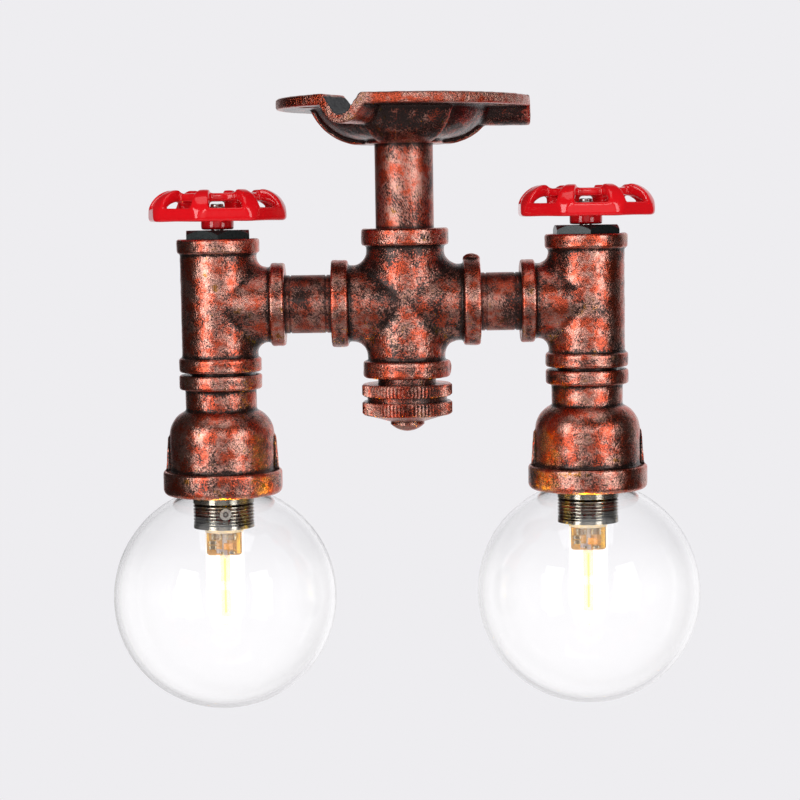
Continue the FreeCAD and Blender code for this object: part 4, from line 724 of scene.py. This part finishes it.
def phosphor_beads(axis, sizes):
    """Rounded bead of phosphor along each face of the light strip, short of its ends."""
    phosphor = lit_phosphor("Phosphor bead, lit", tuple(sizes.light), sizes.strength)
    low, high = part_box("lamp_strip_left")
    beads = []
    for way in (-1, 1):
        bpy.ops.mesh.primitive_cylinder_add(
            vertices=24, radius=sizes.bead / 2, depth=high.z - low.z - 2 * sizes.bead_short,
            location=(axis, way * 0.5 * MM, (high.z + low.z) / 2))
        bead = bpy.context.object
        bead.scale = (1, 0.5, 1)
        bpy.ops.object.transform_apply(location=False, rotation=False, scale=True)
        with editing(bead):
            soften(bead, sharp, 0.3 * MM, 3)
        bead.data.materials.append(phosphor)
        beads.append(bead)
    return settle(joined(beads), "phosphor_bead_left", "lamp_left", "light_strip")


def capsule(axis, glow):
    """Silicone capsule with a round end and a rolled rim around the lamp's base, filled up to the base.

    It is cast solid around the board and the strip, which it magnifies.
    """
    low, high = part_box("lamp_cover_left")
    plug_low, plug_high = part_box("lamp_base_left")
    radius = (high.x - low.x) / 2
    wall = radius - (plug_high.x - plug_low.x) / 2
    roll, seat = 0.4 * MM, 0.05 * MM
    rim = low.z + radius
    bpy.ops.mesh.primitive_uv_sphere_add(segments=48, ring_count=24, radius=radius, location=(axis, 0, rim))
    shell = bpy.context.object
    bpy.ops.object.transform_apply(location=True, rotation=False, scale=False)
    with editing(shell):
        bpy.ops.mesh.bisect(plane_co=(0, 0, rim), plane_no=(0, 0, 1), clear_outer=True, use_fill=True,
                            threshold=0.01 * MM)
        pick(shell, "faces", lambda face: len(face.verts) > 24)
        for rise, share in ((high.z - roll - rim, 1), (roll, 0.97), (0, 1 - wall / radius),
                            (plug_low.z - high.z - seat, 1)):
            bpy.ops.mesh.extrude_region_move(TRANSFORM_OT_translate={"value": (0, 0, rise)})
            bpy.ops.transform.resize(value=(share, share, 1), center_override=(axis, 0, high.z))
        bpy.ops.mesh.select_all(action="SELECT")
        bpy.ops.mesh.normals_make_consistent(inside=False)
    only(shell)
    bpy.ops.object.shade_smooth_by_angle(angle=math.radians(40))
    # Painted glow, white around the board and golden above it
    cover = clear("Silicone, moulded, clear", "#FEFDFC", 1.41, glow, (-2, 5), "#BC9550")
    return settle(shell, "silicone_capsule_left", "lamp_left", "clear_cover", cover)


class PIPE_LIGHT_OT_lamps(bpy.types.Operator):
    """Builds the driver boards and the light strips and finishes the lamps around them"""
    bl_idname = "pipe_light.lamps"
    bl_label = "Lamps"

    def execute(self, context):
        sizes = context.scene.pipe_light_lamps
        low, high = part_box("lamp_board_left")
        axis = (low.x + high.x) / 2
        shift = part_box("lamp_board_right")[0].x - low.x
        for piece, node in ((driver_board(low, high), "lamp_board"), (phosphor_beads(axis, sizes), None),
                            (capsule(axis, sizes.glow), "lamp_cover")):
            other = piece.copy()
            other.data = piece.data.copy()
            bpy.context.scene.collection.objects.link(other)
            other.location.x = shift
            settle(other, piece.name.removesuffix("left") + "right", "lamp_right", piece["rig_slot"])
            if node:
                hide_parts(node + "_left")
                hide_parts(node + "_right")
        carrier = moulded("Alumina carrier, white", "#F2EEDF", "#E4DEC9", 0.5, 0.8)
        plug = moulded("Silicone plug, moulded, milky", "#F1EBDD", "#E2DAC7", 0.35, 1.5)
        wire = worn_metal("Tinned wire, bright", "#D2D2CF", "#A8A8A5", 0.22, 0.5)
        for side in SIDES:
            finish_node("lamp_strip_" + side, carrier)
            finish_node("lamp_base_" + side, plug)
            finish_node("lamp_pins_" + side, wire)
        return {"FINISHED"}


# Globes

class PIPE_LIGHT_OT_globes(bpy.types.Operator):
    """Finishes the blown glass globes"""
    bl_idname = "pipe_light.globes"
    bl_label = "Globes"

    def execute(self, context):
        # Painted glow: the glass emits a faint white light around the lamp, fading to none above
        glass = clear("Soda glass, blown thin, clear", "#FEFEFE", 1.4, 0.035, (-14, 9))
        for side in SIDES:
            finish_node("globe_" + side, glass)
        return {"FINISHED"}


# Stage

class StageSizes(bpy.types.PropertyGroup):
    backdrop: FloatVectorProperty(name="Backdrop", description="Colour of the floor and the background",
                                  subtype="COLOR", size=3, min=0, max=1, default=linear("#EEEDF0"))
    floor_down: FloatProperty(name="Floor", description="Floor below the lowest point of the light",
                              unit="LENGTH", default=0.3)
    floor_across: FloatProperty(name="Floor size", description="Width of the floor", unit="LENGTH",
                                default=3.0)
    key: FloatProperty(name="Front lights", description="Power of the left front light, which the others in "
                       "front follow", unit="POWER", default=8.0)
    top: FloatProperty(name="Top light", description="Power of the light above", unit="POWER", default=3.5)


# The camera that the photograph fits: place, degrees below level and of roll, focal length and sensor
CAMERA_PLACE = (-0.0034, -0.975, -0.0521)
CAMERA_DOWN = 5.1
CAMERA_ROLL = -0.86
CAMERA_LENS = 94.77
CAMERA_SENSOR = 36


def lay_floor(sizes, paper):
    """Sheet of paper that fades away towards its rim for a look at it, and keeps the object's shadow."""
    bpy.ops.mesh.primitive_circle_add(
        vertices=96, radius=sizes.floor_across / 2, fill_type="NGON",
        location=(0, 0, CAD_BOX[0].z - sizes.floor_down))
    floor = bpy.context.object
    floor.name = "floor"
    finish, tree, place = new_material("Paper sweep, pale, matt")
    fibre = add(tree, "TexNoise", {"Vector": place, "Scale": 1 / 40, "Detail": 2.0})
    darker = tuple(part * 0.985 for part in paper)
    tone = add(tree, "Mix", {0: fibre.outputs[0], 6: paper, 7: darker}, data_type="RGBA")
    matt = add(tree, "BsdfPrincipled", {"Base Color": tone.outputs[2], "Roughness": 0.9})
    flat = add(tree, "Mapping", {"Vector": place, "Scale": (1, 1, 0)})
    away = add(tree, "VectorMath", {0: flat.outputs[0]}, operation="LENGTH").outputs["Value"]
    outer = sizes.floor_across / MM * 0.28
    rim = add(tree, "MapRange", {"Value": away, "From Min": 150.0, "From Max": outer},
              interpolation_type="SMOOTHSTEP")
    rays = add(tree, "LightPath").outputs
    looked = add(tree, "Math", {0: rays["Is Camera Ray"], 1: rays["Is Glossy Ray"]}, operation="MAXIMUM")
    looked = add(tree, "Math", {0: looked.outputs[0], 1: rays["Is Transmission Ray"]}, operation="MAXIMUM")
    faded = add(tree, "Math", {0: rim.outputs[0], 1: looked.outputs[0]}, operation="MULTIPLY")
    # The object mirrors only a third of the floor, as if it hung high over it
    faint = add(tree, "Math", {0: rays["Is Glossy Ray"], 1: 0.67}, operation="MULTIPLY")
    faded = add(tree, "Math", {0: faded.outputs[0], 1: faint.outputs[0]}, operation="MAXIMUM")
    unseen = add(tree, "BsdfTransparent")
    close(tree, add(tree, "MixShader", {0: faded.outputs[0], 1: matt.outputs[0], 2: unseen.outputs[0]}))
    floor.data.materials.append(finish)


def fill_world(world, paper):
    """Plain paper behind the object, a studio for metal and glass to mirror, and a dim even light."""
    world.use_nodes = True
    tree = world.node_tree
    tree.nodes.clear()
    rays = add(tree, "LightPath").outputs
    # The paper is plain where it is looked at directly, through glass or inside the wall of a globe
    direct = add(tree, "Math", {0: rays["Glossy Depth"], 1: 0.5}, operation="LESS_THAN")
    inside = add(tree, "Math", {0: rays["Transmission Depth"], 1: 2.5}, operation="LESS_THAN")
    direct = add(tree, "Math", {0: direct.outputs[0], 1: inside.outputs[0]}, operation="MAXIMUM")
    # The lit lamps lift the paper behind their globes by a tenth, a painted brightening seen through glass
    # only
    halo = add(tree, "Math", {0: rays["Is Transmission Ray"], 1: 1.1}, operation="MULTIPLY")
    through = add(tree, "Math", {0: halo.outputs[0], 1: direct.outputs[0]}, operation="MULTIPLY")
    seen = add(tree, "Math", {0: rays["Is Camera Ray"], 1: through.outputs[0]}, operation="MAXIMUM")
    # Metal mirrors the pale paper behind (a little to the right) and below it, the wall behind the camera,
    # and a dark room at the sides. Each is bright around one way, from a first to a last cosine.
    outward = add(tree, "TexCoord").outputs["Generated"]
    way = add(tree, "SeparateXYZ", {0: outward}).outputs
    rear = add(tree, "VectorMath", {0: outward, 1: (0.3, 0.95, 0.0)}, operation="DOT_PRODUCT")
    mirrored = 0.03
    for toward, first, last, most in ((rear.outputs["Value"], 0.6, 0.95, 1.0), (way["Y"], -0.9, -0.99, 0.7),
                                      (way["Z"], -0.5, -0.95, 0.3)):
        part = add(tree, "MapRange", {"Value": toward, "From Min": first, "From Max": last, "To Max": most},
                   interpolation_type="SMOOTHSTEP")
        mirrored = add(tree, "Math", {0: part.outputs[0], 1: mirrored}, operation="MAXIMUM").outputs[0]
    image = add(tree, "Math", {0: rays["Is Glossy Ray"], 1: rays["Is Transmission Ray"]},
                operation="MAXIMUM")
    mirrored = add(tree, "Math", {0: mirrored, 1: image.outputs[0]}, operation="MULTIPLY")
    matt = add(tree, "Math", {0: rays["Is Diffuse Ray"], 1: 0.4}, operation="MULTIPLY")
    level = add(tree, "Math", {0: seen.outputs[0], 1: mirrored.outputs[0]}, operation="MAXIMUM")
    level = add(tree, "Math", {0: level.outputs[0], 1: matt.outputs[0]}, operation="MAXIMUM")
    sky = add(tree, "Background", {"Color": paper, "Strength": level.outputs[0]})
    add(tree, "OutputWorld", {"Surface": sky.outputs[0]})


def softbox(name, place, size, power):
    """Soft rectangular light that faces the middle of the object and stays out of sight."""
    target = Vector((0, 0, -0.15))
    turn = (target - Vector(place)).to_track_quat("-Z", "Y").to_euler()
    bpy.ops.object.light_add(type="AREA", location=place, rotation=turn)
    light = bpy.context.object
    light.name = name
    light.data.shape = "RECTANGLE"
    light.data.size, light.data.size_y = size
    light.data.energy = power
    light.visible_camera = False


class PIPE_LIGHT_OT_stage(bpy.types.Operator):
    """Builds the floor, the surroundings, the lights and the camera"""
    bl_idname = "pipe_light.stage"
    bl_label = "Stage"

    def execute(self, context):
        sizes = context.scene.pipe_light_stage
        paper = tuple(sizes.backdrop)
        lay_floor(sizes, paper)
        context.scene.world = bpy.data.worlds.new("Pale studio")
        fill_world(context.scene.world, paper)
        softbox("front_left", (-0.92, -1.07, 0.05), (0.5, 1.1), sizes.key)
        softbox("front_right", (0.92, -1.07, 0.05), (0.5, 1.1), sizes.key * 0.8)
        softbox("front", (0.03, -1.25, 0.24), (0.42, 0.2), sizes.key * 0.12)
        softbox("top", (0.0, -0.35, 1.1), (1.2, 0.8), sizes.top)

        turn = (Matrix.Rotation(math.radians(90 - CAMERA_DOWN), 3, "X") @
                Matrix.Rotation(math.radians(CAMERA_ROLL), 3, "Z"))
        bpy.ops.object.camera_add(location=CAMERA_PLACE, rotation=turn.to_euler())
        camera = context.object
        camera.data.lens = CAMERA_LENS
        camera.data.sensor_width = CAMERA_SENSOR
        bpy.context.scene.camera = camera
        context.scene.view_settings.view_transform = "Standard"
        return {"FINISHED"}


class PIPE_LIGHT_PT_panel(bpy.types.Panel):
    """Steps that build the light, in order"""
    bl_idname = "PIPE_LIGHT_PT_panel"
    bl_label = "Pipe light"
    bl_space_type = "VIEW_3D"
    bl_region_type = "UI"
    bl_category = "Pipe light"

    def draw(self, context):
        for step in STEPS:
            self.layout.operator(step.bl_idname)
        for name, group in GROUPS.items():
            box = self.layout.box()
            for prop in group.__annotations__:
                box.prop(getattr(context.scene, name), prop)


STEPS = (PIPE_LIGHT_OT_castings, PIPE_LIGHT_OT_pipes, PIPE_LIGHT_OT_handwheels, PIPE_LIGHT_OT_lampholders,
         PIPE_LIGHT_OT_lamps, PIPE_LIGHT_OT_globes, PIPE_LIGHT_OT_stage)
GROUPS = {"pipe_light_copper": CopperColours, "pipe_light_castings": CastingSizes,
          "pipe_light_wheels": WheelLooks, "pipe_light_lamps": LampSizes, "pipe_light_stage": StageSizes}
CLASSES = (*GROUPS.values(), *STEPS, PIPE_LIGHT_PT_panel)


def register():
    for item in CLASSES:
        bpy.utils.register_class(item)
    for name, group in GROUPS.items():
        setattr(bpy.types.Scene, name, PointerProperty(type=group))


def unregister():
    for name in GROUPS:
        delattr(bpy.types.Scene, name)
    for item in reversed(CLASSES):
        bpy.utils.unregister_class(item)


def main():
    register()
    for step in STEPS:
        package, name = step.bl_idname.split(".")
        getattr(getattr(bpy.ops, package), name)()


if __name__ == "__main__":
    main()
